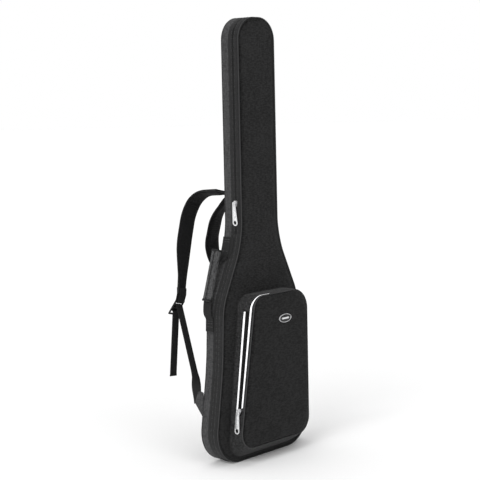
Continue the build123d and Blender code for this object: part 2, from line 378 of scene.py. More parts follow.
@dataclass(frozen=True)
class AirMesh(Finish):
    """Spacer mesh over padding: rows of small round holes."""

    dark: Colour = (0.002, 0.002, 0.002)
    light: Colour = (0.012, 0.012, 0.013)
    cell_mm: float = 3.2

    def dress(self) -> bpy.types.Material:
        """Builds holes on a crossed sine lattice with soft threads between them.

        Returns:
            The material.
        """
        graph = Graph(self.name)
        turn = 2 * math.pi / (self.cell_mm * MM)
        x, y, z = [(axis * turn).sine() for axis in graph.axes()]
        lattice = (x * z + y * z + x * y) * 0.5 + 0.5
        fuzz = graph.noise(1.0, 3.0)
        patches = graph.noise(60.0, 2.0)
        height = lattice * 0.7 + fuzz * 0.3
        # The colour darkens into the holes with the height, as painted shade, plus slow patches of real tone.
        colour = graph.mix(height * 0.8 + (patches - 0.5) * 0.4, self.dark, self.light)
        return graph.surface(
            Base_Color=colour, Roughness=0.97 - height * 0.15,
            Normal=graph.relief(height, 0.7, 0.8), Specular_IOR_Level=0.12, Sheen_Weight=0.04,
        )


@dataclass(frozen=True)
class Metal(Finish):
    """Polished plated metal with fine wear."""

    bright: Colour = (0.9, 0.9, 0.91)
    dull: Colour = (0.6, 0.6, 0.61)
    roughness: float = 0.26
    metallic: float = 0.7

    def dress(self) -> bpy.types.Material:
        """Builds smudges and hairline scratches.

        Returns:
            The material.
        """
        graph = Graph(self.name)
        smudge = graph.ramp(graph.noise(9.0, 4.0), 0.35, 0.7)
        scratch = graph.noise(0.8, 2.0, (1.0, 1.0, 0.1))
        return graph.surface(
            Base_Color=graph.mix(smudge, self.bright, self.dull), Metallic=self.metallic,
            Roughness=self.roughness + smudge * 0.16 + (scratch - 0.5) * 0.2,
            Normal=graph.relief(scratch, 0.05, 0.5),
        )


@dataclass(frozen=True)
class Moulded(Finish):
    """Moulded plastic or rubber with a fine grain."""

    dark: Colour = (0.006, 0.006, 0.006)
    light: Colour = (0.014, 0.014, 0.014)
    grain_mm: float = 0.9
    relief_mm: float = 0.12
    roughness: float = 0.5

    def dress(self) -> bpy.types.Material:
        """Builds the grain and handling marks.

        Returns:
            The material.
        """
        graph = Graph(self.name)
        grain = graph.noise(self.grain_mm, 3.0)
        marks = graph.ramp(graph.noise(14.0, 4.0), 0.4, 0.75)
        return graph.surface(
            Base_Color=graph.mix(marks, self.dark, self.light),
            Roughness=self.roughness + marks * 0.18,
            Normal=graph.relief(grain, self.relief_mm, 0.6), Specular_IOR_Level=0.4,
        )


@dataclass(frozen=True)
class Reflective(Finish):
    """Glass-bead reflective tape with a faint cell pattern; its shine back towards a light near the viewer is
    a painted glow from its own emission.
    """

    base: Colour = (0.86, 0.86, 0.87)
    cell_mm: float = 2.4
    painted_glow: float = 0.35

    def dress(self) -> bpy.types.Material:
        """Builds bright cells with greyer walls between them.

        Returns:
            The material.
        """
        graph = Graph(self.name)
        along, across = graph.attribute("along"), graph.attribute("across")
        turn = 2 * math.pi / self.cell_mm
        cells = ((along + across) * turn).sine() * ((along - across) * turn).sine()
        walls = graph.ramp(cells.size(), 0.0, 0.16)
        beads = graph.noise(0.5, 2.0)
        colour = graph.mix(walls, (0.62, 0.62, 0.64), self.base)
        # The emission is a painted glow: it stands for the light that the tape sends back towards the viewer.
        return graph.surface(
            Base_Color=colour, Roughness=0.35 + beads * 0.2, Emission_Color=colour,
            Emission_Strength=self.painted_glow, Normal=graph.relief(walls * 0.5 + beads * 0.5, 0.08, 0.5),
        )


@dataclass(frozen=True)
class Ground(Finish):
    """A plain pale studio floor."""

    def dress(self) -> bpy.types.Material:
        """Builds an almost even pale matt coat.

        Returns:
            The material.
        """
        graph = Graph(self.name)
        cloud = graph.noise(900.0, 2.0)
        colour = graph.mix(cloud, (0.93, 0.93, 0.93), (0.96, 0.96, 0.96))
        return graph.surface(Base_Color=colour, Roughness=0.85, Specular_IOR_Level=0.1)


def grey(shade: float, tint: float = 0.02) -> Colour:
    """A near-neutral grey, a touch cooler in blue."""
    return (shade, shade, shade * (1.0 + tint))


PANEL = Cloth("panel_cloth", "panel_cloth", grey(0.002), grey(0.017), flat_share=0.62, contrast=0.07)
# The pocket face is the panel cloth made darker: painted shade over the pocket front.
POCKET_FACE_SHADED = Cloth("pocket_cloth_painted_shade", "panel_cloth", grey(0.001), grey(0.013), flat_share=0.62, contrast=0.07)
POCKET_SIDE = Cloth("pocket_side_cloth", "gusset_cloth", grey(0.004), grey(0.036), contrast=0.1)
HEATHER = Cloth("heather_cloth", "gusset_cloth", grey(0.018), grey(0.07), contrast=0.14, relief_mm=0.6)
PLAIN = Cloth("plain_band_cloth", "plain_band", grey(0.006), grey(0.026), contrast=0.2, relief_mm=0.3)
GRIP_CLOTH = Cloth("grip_cloth", "grip", grey(0.02), grey(0.1), flat_share=0.3, contrast=0.12, relief_mm=0.7)
LINING = Cloth("lining_cloth", "lining", grey(0.035), grey(0.07), contrast=0.3, relief_mm=0.25, sheen=0.3)
CRADLE_CLOTH = Cloth("cradle_cloth", "cradle", grey(0.02), grey(0.045), contrast=0.3, sheen=0.3)
# The cord's grey, lighter than the panels, is partly its own colour and partly a painted highlight along its
# ridge.
PIPING = Webbing("piping_cord", "piping", grey(0.012), grey(0.06), rib_mm=2.2, chevron_mm=400.0)
STRAP_WEB = Webbing("strap_webbing", "webbing", grey(0.004), grey(0.018))
HANDLE_WEB = Webbing("handle_webbing", "webbing", grey(0.004), grey(0.022))
ZIP_TAPE = Webbing("zip_tape", "zip_tape", grey(0.003), grey(0.012), rib_mm=1.1, chevron_mm=2.4)
HOOK_LOOP = Webbing("hook_and_loop", "hook_and_loop", grey(0.004), grey(0.02), rib_mm=1.4, chevron_mm=1.4)
THREAD = Webbing("sewing_thread", "piping", grey(0.03), grey(0.09), rib_mm=0.7, chevron_mm=50.0)
COIL = Moulded("zip_coil", "zip_coil", grey(0.004), grey(0.012), roughness=0.38)
PAD_CLOTH = AirMesh("pad_mesh", "pad_cloth")
PLATED = Metal("plated_zip_metal", "zip_metal")
BADGE_RIM = Metal("badge_metal", "badge", bright=(0.8, 0.8, 0.81), dull=(0.6, 0.6, 0.61))
BADGE_FIELD = Moulded("badge_field", "badge", grey(0.004), grey(0.01), roughness=0.3)
BUCKLE = Moulded("buckle_plastic", "buckle", roughness=0.42)
RUBBER = Moulded("base_rubber", "patch", grain_mm=1.6, relief_mm=0.4, roughness=0.7)
TAPE_BRIGHT = Reflective("reflective_tape", "reflective")
FLOOR = Ground("studio_floor", "")


# ---- lines and forms ----------------------------------------------------------------------------
def rounded_face(bm: Form, corners: Ring, radii: Sequence[float], segments: Callable[[float], int]) -> None:
    """Adds a flat face with rounded corners.

    Args:
        bm: the form that gets it.
        corners: the sharp corners.
        radii: a radius for each corner, 0 to leave it sharp.
        segments: how many pieces an arc of a given length has.
    """
    verts = [bm.verts.new(corner) for corner in corners]
    bm.faces.new(verts)
    for index, radius in enumerate(radii):
        if radius:
            here, after = corners[index], corners[(index + 1) % len(corners)]
            turn = (here - corners[index - 1]).angle(after - here)
            bmesh.ops.bevel(
                bm, geom=[verts[index]], offset=radius * math.tan(turn / 2), offset_type="OFFSET",
                segments=segments(radius * turn), profile=0.5, affect="VERTICES", material=-1,
            )


def ring_from(bm: Form, rank: Callable[[Vector], float]) -> Ring:
    """Uses up a form: the points round its largest face, from the lowest-ranked on.

    Args:
        bm: the form.
        rank: what a point is ranked by.

    Returns:
        The points in order.
    """
    figure = max(bm.faces, key=lambda face: len(face.verts))
    points = [vert.co.copy() for vert in figure.verts]
    bm.free()
    start = min(range(len(points)), key=lambda i: rank(points[i]))
    return points[start:] + points[:start]


def corner_loop(corners: Section, radii: Sequence[float], step: float) -> Ring:
    """Rounds the corners of a figure in X and Z, with arcs in pieces about a step long.

    Args:
        corners: the sharp corners.
        radii: a radius for each corner, 0 to leave it sharp.
        step: about how long the pieces of each arc are.

    Returns:
        The points round the figure, from the first corner on.
    """
    sharp = [Vector((x, 0.0, z)) for x, z in corners]
    bm = bmesh.new()
    rounded_face(bm, sharp, radii, lambda length: max(4, round(length / step)))
    return ring_from(bm, lambda point: (point - sharp[0]).length)


def oblong(half: float, low: float, high: float) -> Section:
    """The corners of an oblong about the middle of X."""
    return [(-half, low), (half, low), (half, high), (-half, high)]


def turns(count: int) -> list[float]:
    """Evenly spaced angles round a circle."""
    return [2 * math.pi * i / count for i in range(count)]


def directions(path: Ring) -> Ring:
    """The way that an open line runs at each of its points."""
    last = len(path) - 1
    return [(path[min(i + 1, last)] - path[max(i - 1, 0)]).normalized() for i in range(last + 1)]


def evenly(points: Ring, step: float, shut: bool = False) -> Ring:
    """Spaces points evenly along a line.

    Args:
        points: the line's own points.
        step: about how far apart the new ones are.
        shut: whether the line comes back to its start.

    Returns:
        The new points.
    """
    line = points + [points[0]] if shut else points
    reach = [0.0]
    for first, second in zip(line, line[1:]):
        reach.append(reach[-1] + (second - first).length)
    count = max(2, round(reach[-1] / step))
    spaced, place = [], 0
    for index in range(count if shut else count + 1):
        wanted = reach[-1] * index / count
        while place < len(line) - 2 and reach[place + 1] < wanted:
            place += 1
        share = (wanted - reach[place]) / max(1e-9, reach[place + 1] - reach[place])
        spaced.append(line[place].lerp(line[place + 1], share))
    return spaced


def eased(path: Ring, times: int) -> Ring:
    """Rounds the bends of an open line, keeping its ends.

    Args:
        path: the line.
        times: how often it is rounded.

    Returns:
        The line with softer bends.
    """
    for _ in range(times):
        middle = [a * 0.25 + b * 0.5 + c * 0.25 for a, b, c in zip(path, path[1:], path[2:])]
        path = [path[0], *middle, path[-1]]
    return path


@dataclass
class Loop:
    """A shut line in X and Z, with the way out of it at each point."""

    points: Ring
    outward: Ring = field(init=False)

    def __post_init__(self) -> None:
        """Works out the outward directions."""
        count = len(self.points)
        self.outward = []
        for index in range(count):
            run = self.points[(index + 1) % count] - self.points[index - 1]
            self.outward.append(Vector((run.z, 0.0, -run.x)).normalized())
        turn = sum(a.x * b.z - b.x * a.z for a, b in zip(self.points, self.points[1:] + self.points[:1]))
        if turn < 0:
            self.outward = [-way for way in self.outward]

    def at(self, index: int, inset: float, depth: float) -> Vector:
        """The place at a point of the line, brought in and moved along Y.

        Args:
            index: which point of the line.
            inset: how far in it is brought.
            depth: its Y.

        Returns:
            The place.
        """
        index %= len(self.points)
        place = self.points[index] - self.outward[index] * inset
        return Vector((place.x, depth, place.z))

    def run(self, test: Callable[[Vector], bool]) -> list[int]:
        """The unbroken run of points that pass a test, in order, even across the line's start.

        Args:
            test: says whether a point belongs to the run.

        Returns:
            The points' numbers, which may go past the line's count.
        """
        count = len(self.points)
        passed = [test(point) for point in self.points]
        first = next(i for i in range(count) if passed[i] and not passed[i - 1])
        found = []
        while passed[first % count]:
            found.append(first)
            first += 1
        return found


def loft(rings: Sequence[Ring], looped: bool = False, capped: bool = True) -> Form:
    """Skins a row of shut sections.

    Args:
        rings: the sections, all with the same number of points.
        looped: whether the last section joins the first.
        capped: whether the two ends are closed.

    Returns:
        The skin, with how far each point is along the row and round its section.
    """
    bm = bmesh.new()
    spot = bm.verts.layers.int.new("spot")
    along = bm.verts.layers.float.new("along")
    across = bm.verts.layers.float.new("across")
    around = [0.0]
    for first, second in zip(rings[0], rings[0][1:]):
        around.append(around[-1] + (second - first).length)
    made = []
    for index, place in enumerate(rings[0]):
        vert = bm.verts.new(place)
        vert[spot], vert[across] = index, around[index]
        made.append(vert)
    edges = [bm.edges.new((made[i - 1], made[i])) for i in range(len(made))]
    first_edges = list(edges)
    if capped and not looped:
        bm.faces.new(made)
    travelled = 0.0
    for before, ring in zip(rings, rings[1:]):
        travelled += (sum(ring, Vector()) - sum(before, Vector())).length / len(ring)
        grown = bmesh.ops.extrude_edge_only(bm, edges=edges)["geom"]
        verts = [item for item in grown if isinstance(item, bmesh.types.BMVert)]
        fresh = set(verts)
        edges = [item for item in grown if isinstance(item, bmesh.types.BMEdge) and set(item.verts) <= fresh]
        for vert in verts:
            vert.co = ring[vert[spot]]
            vert[along] = travelled
    if looped:
        bmesh.ops.bridge_loops(bm, edges=first_edges + edges)
    elif capped:
        bm.faces.new(sorted(verts, key=lambda vert: vert[spot]))
    bmesh.ops.recalc_face_normals(bm, faces=bm.faces)
    return bm


def follow(loop: Loop, section: Section, indices: Optional[Sequence[int]] = None) -> Form:
    """Sweeps a section of insets and depths along a loop, or along part of it.

    Args:
        loop: the line.
        section: insets and depths round the section.
        indices: the points to go along, or None for the whole loop.

    Returns:
        The skin.
    """
    chosen = range(len(loop.points)) if indices is None else indices
    rings = [[loop.at(i, inset, depth) for inset, depth in section] for i in chosen]
    return loft(rings, looped=indices is None)


def cord_section(inset: float, depth: float, radius: float, sides: int = 8) -> Section:
    """The round section of a cord that lies on a wall."""
    return [(inset - radius * math.cos(t), depth + radius * math.sin(t)) for t in turns(sides)]


def thickened(bm: Form, thickness: Vector) -> Form:
    """Gives a flat form thickness.

    Args:
        bm: the flat form.
        thickness: which way and how far.

    Returns:
        The same form.
    """
    grown = bmesh.ops.extrude_face_region(bm, geom=list(bm.faces))["geom"]
    verts = [item for item in grown if isinstance(item, bmesh.types.BMVert)]
    bmesh.ops.translate(bm, vec=thickness, verts=verts)
    bmesh.ops.recalc_face_normals(bm, faces=bm.faces)
    return bm


def slab(ring: Ring, thickness: Vector) -> Form:
    """A flat figure given thickness.

    Args:
        ring: the figure's points.
        thickness: which way and how far it is thickened.

    Returns:
        The slab.
    """
    bm = bmesh.new()
    bm.faces.new([bm.verts.new(place) for place in ring])
    return thickened(bm, thickness)


def plate(rings: Sequence[Ring], thickness: Vector, bevel: float) -> Form:
    """A flat plate with holes and softened edges.

    Args:
        rings: the outer figure and then the holes.
        thickness: which way and how far it is thickened.
        bevel: how wide its edges are rounded.

    Returns:
        The plate.
    """
    bm = bmesh.new()
    edges = []
    for ring in rings:
        verts = [bm.verts.new(place) for place in ring]
        edges += [bm.edges.new((verts[i - 1], verts[i])) for i in range(len(verts))]
    bmesh.ops.triangle_fill(bm, edges=edges, use_beauty=True, use_dissolve=False)
    soften(thickened(bm, thickness), bevel, 50.0)
    return bm


def soften(bm: Form, width: float, sharp_deg: float) -> None:
    """Rounds every edge that turns by more than an angle.

    Args:
        bm: the form.
        width: how wide the edges are rounded.
        sharp_deg: the least turn that counts as an edge.
    """
    limit = math.radians(sharp_deg)
    sharp = [edge for edge in bm.edges if len(edge.link_faces) == 2 and edge.calc_face_angle(0.0) > limit]
    bmesh.ops.bevel(
        bm, geom=sharp, offset=width, offset_type="OFFSET", segments=2, profile=0.5,
        affect="EDGES", clamp_overlap=True, material=-1,
    )


def tube(path: Ring, radius: float, sides: int = 8) -> Form:
    """A round bar along a path, with its ends closed.

    Args:
        path: its middle line.
        radius: its radius.
        sides: how many sides it has.

    Returns:
        The bar.
    """
    rings = []
    for place, run in zip(path, directions(path)):
        side = run.cross(Vector((0.12, 1.0, 0.17))).normalized()
        up = run.cross(side)
        rings.append([place + side * radius * math.cos(t) + up * radius * math.sin(t) for t in turns(sides)])
    return loft(rings)


def ribbon(path: Ring, sides: Sequence[Vector], widths: Sequence[float], thick: float) -> Form:
    """A flat strap with rounded edges along a path.

    Args:
        path: its middle line.
        sides: the way across it at each point.
        widths: its width at each point.
        thick: how thick it is.

    Returns:
        The strap.
    """
    rings = []
    flat = [(-1.0, 0.3), (-0.93, 1.0), (-0.5, 1.0), (0.0, 1.0), (0.5, 1.0), (0.93, 1.0), (1.0, 0.3)]
    for place, run, across, width in zip(path, directions(path), sides, widths):
        side = (across - run * across.dot(run)).normalized()
        up, half, lift = run.cross(side), width / 2, thick / 2
        top = [side * half * share + up * lift * full for share, full in flat]
        under = [side * half * share - up * lift * full for share, full in reversed(flat)]
        rings.append([place + offset for offset in top + under])
    return loft(rings)


def joined(parts: Iterable[Form]) -> Form:
    """Brings several forms together as one piece.

    Args:
        parts: the forms, used up here.

    Returns:
        One form.
    """
    whole = bmesh.new()
    for part in parts:
        mesh = bpy.data.meshes.new("joining")
        part.to_mesh(mesh)
        part.free()
        whole.from_mesh(mesh)
        bpy.data.meshes.remove(mesh)
    return whole


def pegs(places: Iterable[Matrix], radius: float, length: float, sides: int = 5) -> Form:
    """Many small round bars, each lying along its own Z.

    Args:
        places: a frame for each bar.
        radius: their radius.
        length: their length.
        sides: how many sides they have.

    Returns:
        The bars, as one form.
    """
    bm = bmesh.new()
    along = bm.verts.layers.float.new("along")
    for count, place in enumerate(places):
        made = bmesh.ops.create_cone(
            bm, cap_ends=True, segments=sides, radius1=radius, radius2=radius, depth=length, matrix=place)
        for vert in made["verts"]:
            vert[along] = count * 0.9
    return bm


def standing(place: Vector, along: Vector) -> Matrix:
    """A frame at a place whose Z lies along a direction."""
    return Matrix.Translation(place) @ along.to_track_quat("Z", "Y").to_matrix().to_4x4()


def stitch_row(path: Ring, pitch: float = 4.5, length: float = 3.0, radius: float = 0.42) -> Form:
    """A row of stitches along a path of points on a surface."""
    spaced = evenly(path, pitch)
    return pegs([standing(a.lerp(b, 0.5), b - a) for a, b in zip(spaced, spaced[1:])], radius, length)


# ---- making and placing pieces ------------------------------------------------------------------
@dataclass
class Workshop:
    """Turns finished forms into pieces of the bag, dresses them and hides the CAD nodes that they stand for.
    """

    materials: dict[str, bpy.types.Material] = field(default_factory=dict)
    count: int = 0

    def material(self, finish: Finish) -> bpy.types.Material:
        """A finish's material, made once.

        Args:
            finish: the finish.

        Returns:
            Its material.
        """
        if finish.name not in self.materials:
            self.materials[finish.name] = finish.dress()
        return self.materials[finish.name]

    def shape(self, name: str, bm: Form, finish: Finish) -> Piece:
        """Makes a smooth-shaded object in metres from a form in millimetres.

        Args:
            name: the piece's name.
            bm: its form, used up here.
            finish: its surface.

        Returns:
            The object, riding on nothing yet.
        """
        bmesh.ops.scale(bm, vec=(MM, MM, MM), verts=bm.verts)
        mesh = bpy.data.meshes.new(name)
        bm.to_mesh(mesh)
        bm.free()
        for face in mesh.polygons:
            face.use_smooth = True
        mesh.set_sharp_from_angle(angle=math.radians(SMOOTH_DEG))
        mesh.materials.append(self.material(finish))
        made = bpy.data.objects.new(name, mesh)
        bpy.context.scene.collection.objects.link(made)
        return made

    def settle(self, made: Piece, finish: Finish, body: Body, stands_for: Sequence[str] = ()) -> None:
        """Puts a piece on its body and hides the CAD nodes that it stands for."""
        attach(made, body.value)
        self.note(made, finish, stands_for)

    def note(self, made: Piece, finish: Finish, stands_for: Sequence[str] = ()) -> None:
        """Hides the CAD nodes that a piece stands for, counts the piece and logs its number of faces.

        Args:
            made: the piece.
            finish: not used.
            stands_for: the CAD nodes that it replaces.
        """
        if stands_for:
            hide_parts(*stands_for)
        self.count += 1
        LOG.info("piece %s: %d faces", made.name, len(made.data.polygons))

    def place(self, name: str, bm: Form, finish: Finish, body: Body,
              stands_for: Sequence[str] = ()) -> Piece:
        """Makes a piece and settles it on its body.

        Args:
            name: the piece's name.
            bm: its form, used up here.
            finish: its surface.
            body: the body that it rides on.
            stands_for: the CAD nodes that it replaces.

        Returns:
            The piece.
        """
        made = self.shape(name, bm, finish)
        self.settle(made, finish, body, stands_for)
        return made

    def bridge(self, name: str, bm: Form, finish: Finish, bodies: tuple[Body, Body],
               ends: Span, stands_for: Sequence[str] = ()) -> Piece:
        """Makes a piece that stays where it is built and rides on no body.

        Args:
            name: the piece's name.
            bm: its form, used up here.
            finish: its surface.
            bodies: not used.
            ends: two points in millimetres; they are turned to metres and not used further.
            stands_for: the CAD nodes that it replaces.

        Returns:
            The piece.
        """
        made = self.shape(name, bm, finish)
        tuple(ends[0] * MM)
        tuple(ends[1] * MM)
        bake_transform(made)
        self.note(made, finish, stands_for)
        return made

    def stuff(self, made: Piece, voxel: float, cap: float, fill: float, pressure: float = 4.0,
              finer: bool = True) -> None:
        """Swells a closed form as padding does, by a short cloth simulation.

        Args:
            made: the piece, still on no body.
            voxel: the spacing of its new points, in millimetres.
            cap: how far a point may move, in millimetres.
            fill: not used.
            pressure: how hard the padding pushes out.
            finer: whether its faces are split once more at the end.
        """
        remesh = made.modifiers.new("even_points", "REMESH")
        remesh.mode, remesh.voxel_size, remesh.use_smooth_shade = "VOXEL", voxel * MM, True
        self.apply(made)
        rest = [vert.co.copy() for vert in made.data.vertices]
        cloth = made.modifiers.new("padding", "CLOTH")
        cloth.settings.quality = 4
        cloth.settings.use_pressure = True
        cloth.settings.uniform_pressure_force = pressure
        cloth.settings.effector_weights.gravity = 0.0
        for frame in range(1, PADDING_FRAMES + 1):
            bpy.context.scene.frame_set(frame)
        self.apply(made)
        bpy.context.scene.frame_set(1)
        for vert, start in zip(made.data.vertices, rest):
            moved = vert.co - start
            vert.co = start + moved * min(1.0, cap * MM / max(moved.length, 1e-9))
        if finer:
            split = made.modifiers.new("fine_points", "SUBSURF")
            split.levels = split.render_levels = 1
            self.apply(made)

    def apply(self, made: Piece) -> None:
        """Makes a piece's modifiers part of its mesh.

        Args:
            made: the piece.
        """
        mesh = bpy.data.meshes.new_from_object(made.evaluated_get(bpy.context.evaluated_depsgraph_get()))
        made.modifiers.clear()
        made.data = mesh
        for face in mesh.polygons:
            face.use_smooth = True

    def softened(self, node: Piece, width: float) -> Form:
        """A CAD node's form in millimetres with its sharp edges rounded.

        Args:
            node: the CAD node.
            width: how wide its edges are rounded.

        Returns:
            The form.
        """
        bm = bmesh.new()
        bm.from_mesh(node.data)
        bmesh.ops.scale(bm, vec=(1 / MM, 1 / MM, 1 / MM), verts=bm.verts)
        bmesh.ops.remove_doubles(bm, verts=bm.verts, dist=0.005)
        bmesh.ops.dissolve_limit(bm, angle_limit=math.radians(1.0), verts=bm.verts, edges=bm.edges)
        soften(bm, width, 40.0)
        return bm


def rumple(bm: Form, feature: float, height: float, seed: float = 0.0) -> None:
    """Moves a form's points in and out a little, as cloth over foam does.

    Args:
        bm: the form.
        feature: the size of the swells.
        height: how far they go in and out.
        seed: which swells they are.
    """
    bm.normal_update()
    for vert in bm.verts:
        swell = noise.noise(vert.co / feature + Vector((seed, seed, seed)))
        vert.co += vert.normal * swell * height


# ---- the bag's outline --------------------------------------------------------------------------
@dataclass
class BagOutline:
    """The front outline that the tray and the lid share."""

    floor: float = 1.5
    corners: tuple = ((196.5, 1.5), (157.0, 270.0), (149.5, 428.0), (72.0, 595.0), (71.0, 1180.0))
    radii: tuple = (88.0, 800.0, 150.0, 240.0, 60.0)
    step: float = 7.0

    def loop(self) -> Loop:
        """The whole outline, from the middle of the base round by the right side.

        Returns:
            The outline, evenly stepped.
        """
        left = [(-x, z) for x, z in reversed(self.corners)]
        corners = [(0.0, self.floor), *self.corners, *left]
        radii = [0.0, *self.radii, *reversed(self.radii)]
        return Loop(evenly(corner_loop(corners, radii, 3.0), self.step, shut=True))


@dataclass
class ZipRun:
    """Where the main zip's coil lies on the outline: everywhere but low on the left side."""

    foot_z: float = 616.0
    base_x: float = -95.0
    middle: float = -11.0
    pitch: float = 1.7

    def holds(self, point: Vector) -> bool:
        """Whether a point of the outline has the zip on it."""
        return point.z >= self.foot_z or point.x > 0 or (point.z < 30 and point.x > self.base_x)


# ---- the two halves of the shell ----------------------------------------------------------------
@dataclass
class Half:
    """The tray or the lid: side walls, piping, panel, lining and one side of the zip."""

    shop: Workshop
    loop: Loop
    zip_run: ZipRun
    body: Body
    prefix: str
    way: float
    wall: float = 6.5
    band_inset: float = 0.35
    panel_inset: float = 4.4
    panel_faces: tuple[float, float] = (21.6, 29.2)
    lining_depths: tuple[float, float] = (7.2, 21.0)
    piping_depth: float = 29.2
    piping_radius: float = 1.5
    tape_half: float = 4.0

    def deep(self, depth: float) -> float:
        """A depth measured from the bag's middle towards this half's panel."""
        return self.way * depth

    def wall_section(self, near: float, far: float, proud: float, hems: tuple[bool, bool]) -> Section:
        """A padded wall's section.

        Args:
            near: its edge towards the zip.
            far: its edge towards the panel.
            proud: how far its middle swells.
            hems: whether the near and far edges are rolled.

        Returns:
            Insets and depths round the section.
        """
        span = far - near
        shares = [0.0, 0.04, 0.1, 0.22, 0.36, 0.5, 0.64, 0.78, 0.9, 0.96, 1.0]
        outer = []
        for share in shares:
            inset = -proud * math.sin(math.pi * share)
            if (share < 0.03 and hems[0]) or (share > 0.97 and hems[1]):
                inset += 0.9
            outer.append((inset, near + span * share))
        return outer + [(self.wall, far), (self.wall, near)]

    def piping(self, stands_for: str) -> None:
        """The ribbed cord in the seam between the wall and the panel, with a near-black welt beside it as
        painted shadow in the seam.

        Args:
            stands_for: the CAD node that it replaces.
        """
        bm = follow(self.loop, cord_section(0.9, self.deep(self.piping_depth), self.piping_radius))
        self.shop.place(f"{self.prefix}_piping_cord", bm, PIPING, self.body, [stands_for])
        # The welt is a near-black strip across the gaps beside the cord: painted shadow in the seam.
        welt = [(0.2, 27.0), (-0.35, 27.4), (-0.35, 28.3), (2.6, 28.6), (2.6, 27.2)]
        bm = follow(self.loop, [(inset, self.deep(depth)) for inset, depth in welt])
        self.shop.place(f"{self.prefix}_piping_shadow_welt", bm, ZIP_TAPE, self.body)

    def panel(self, finish: Finish, stands_for: Sequence[str], seed: float) -> None:
        """The padded face of this half.

        Args:
            finish: its cloth.
            stands_for: the CAD nodes that it replaces.
            seed: which swells its face has.
        """
        near, far = self.panel_faces
        ring = [self.loop.at(i, self.panel_inset, self.deep(near)) for i in range(len(self.loop.points))]
        bm = slab(ring, Vector((0.0, self.way * (far - near), 0.0)))
        made = self.shop.shape(f"{self.prefix}_padded_panel", bm, finish)
        self.shop.stuff(made, voxel=4.2, cap=1.6, fill=0.35, pressure=2.0, finer=False)
        for vert in made.data.vertices:
            if vert.co.y * self.way > near * MM + 0.004:
                swell = noise.noise(vert.co / 0.11 + Vector((seed, 0.0, 0.0)))
                ripple = noise.noise(vert.co / 0.03 + Vector((0.0, seed, 0.0)))
                vert.co.y += self.way * (swell * 0.9 + ripple * 0.25) * MM
        self.shop.settle(made, finish, self.body, stands_for)

    def lining(self, stands_for: str) -> None:
        """The soft inner faces of the walls and the panel.

        Args:
            stands_for: the CAD node that it replaces.
        """
        near, far = (self.deep(depth) for depth in self.lining_depths)
        inner = self.wall + 1.1
        wall = follow(self.loop, [(self.wall, near), (self.wall, far), (inner, far), (inner, near)])
        self.shop.place(f"{self.prefix}_wall_lining", wall, LINING, self.body, [stands_for])
        ring = [self.loop.at(i, self.wall + 0.4, self.deep(21.6)) for i in range(len(self.loop.points))]
        bm = slab(ring, Vector((0.0, -self.way * 1.4, 0.0)))
        made = self.shop.shape(f"{self.prefix}_panel_lining", bm, LINING)
        self.shop.settle(made, LINING, self.body)

    def zip_side(self, stands_for: Sequence[str]) -> None:
        """This half's zip tape and its row of coil turns.

        Args:
            stands_for: the CAD nodes of the tape and of the coil.
        """
        indices = self.loop.run(self.zip_run.holds)
        middle, side = self.zip_run.middle, self.way
        near, far = middle + side * 1.5, middle + side * (self.tape_half + 0.7)
        tape = [(1.5, near), (1.5, far), (2.3, far), (2.3, near)]
        bm = follow(self.loop, tape, indices)
        self.shop.place(f"{self.prefix}_tape", bm, ZIP_TAPE, self.body, stands_for[:1])
        path = evenly([self.loop.at(i, 0.0, 0.0) for i in indices], self.zip_run.pitch)
        shift = 0.25 if side > 0 else 0.75
        places = []
        for here, after in zip(path, path[1:]):
            run = after - here
            out = Vector((run.z, 0.0, -run.x)).normalized()
            spot = here.lerp(after, shift) - out * 1.25 + Vector((0.0, middle + side * 1.0, 0.0))
            places.append(standing(spot, BACKWARD + run.normalized() * 0.16))
        coil = pegs(places, radius=0.62, length=3.1, sides=6)
        self.shop.place(f"{self.prefix}_coil_turns", coil, COIL, self.body, stands_for[1:])

    def seam(self, name: str, inset: float, depth: float, indices: Optional[list[int]] = None) -> None:
        """A row of stitches along the outline.

        Args:
            name: the row's name after its half.
            inset: how far inside the outline it lies.
            depth: its Y.
            indices: the points that it goes along, or None for all.
        """
        chosen = range(len(self.loop.points) + 1) if indices is None else indices
        path = [self.loop.at(i, inset, depth) for i in chosen]
        self.shop.place(f"{self.prefix}_{name}", stitch_row(path), THREAD, self.body)


@dataclass
class Tray(Half):
    """The half that is worn against the back."""

    def build(self) -> None:
        """Makes the walls, the back panel, the lining and this side of the zip."""
        heather = follow(self.loop, self.wall_section(near=5.2, far=28.0, proud=0.9, hems=(True, False)))
        rumple(heather, feature=34.0, height=0.5)
        self.shop.place("heather_gusset", heather, HEATHER, self.body, ["rear_gusset", "rear_gusset_foam"])
        section = self.wall_section(near=-8.6, far=5.1, proud=0.5, hems=(True, False))
        plain = [(inset + self.band_inset, depth) for inset, depth in section]
        self.shop.place("rear_plain_band", follow(self.loop, plain), PLAIN, self.body, ["rear_zip_band"])
        self.piping("rear_piping")
        self.panel(PANEL, ["back_panel_shell", "back_panel_foam"], 3.7)
        self.lining("tray_lining")
        self.zip_side(["rear_zip_tape", "rear_zip_coil"])
        self.seam("heather_stitches", inset=-0.25, depth=7.6)
        self.seam("zip_stitches", inset=-0.2, depth=-6.0)


@dataclass
class Lid(Half):
    """The front half, which opens like a book about the bag's left side."""

    def build(self) -> None:
        """Makes the wall, the front panel, the lining and this side of the zip."""
        section = self.wall_section(near=13.4, far=27.3, proud=0.7, hems=(True, True))
        plain = [(inset + self.band_inset, -depth) for inset, depth in section]
        self.shop.place("front_plain_band", follow(self.loop, plain), PLAIN, self.body,
                        ["front_band", "front_band_foam"])
        self.piping("front_piping")
        self.panel(PANEL, ["front_panel_shell", "front_panel_foam"], 1.3)
        self.lining("lid_lining")
        self.zip_side(["front_zip_tape", "front_zip_coil"])
        self.seam("zip_stitches", inset=-0.25, depth=-15.8)


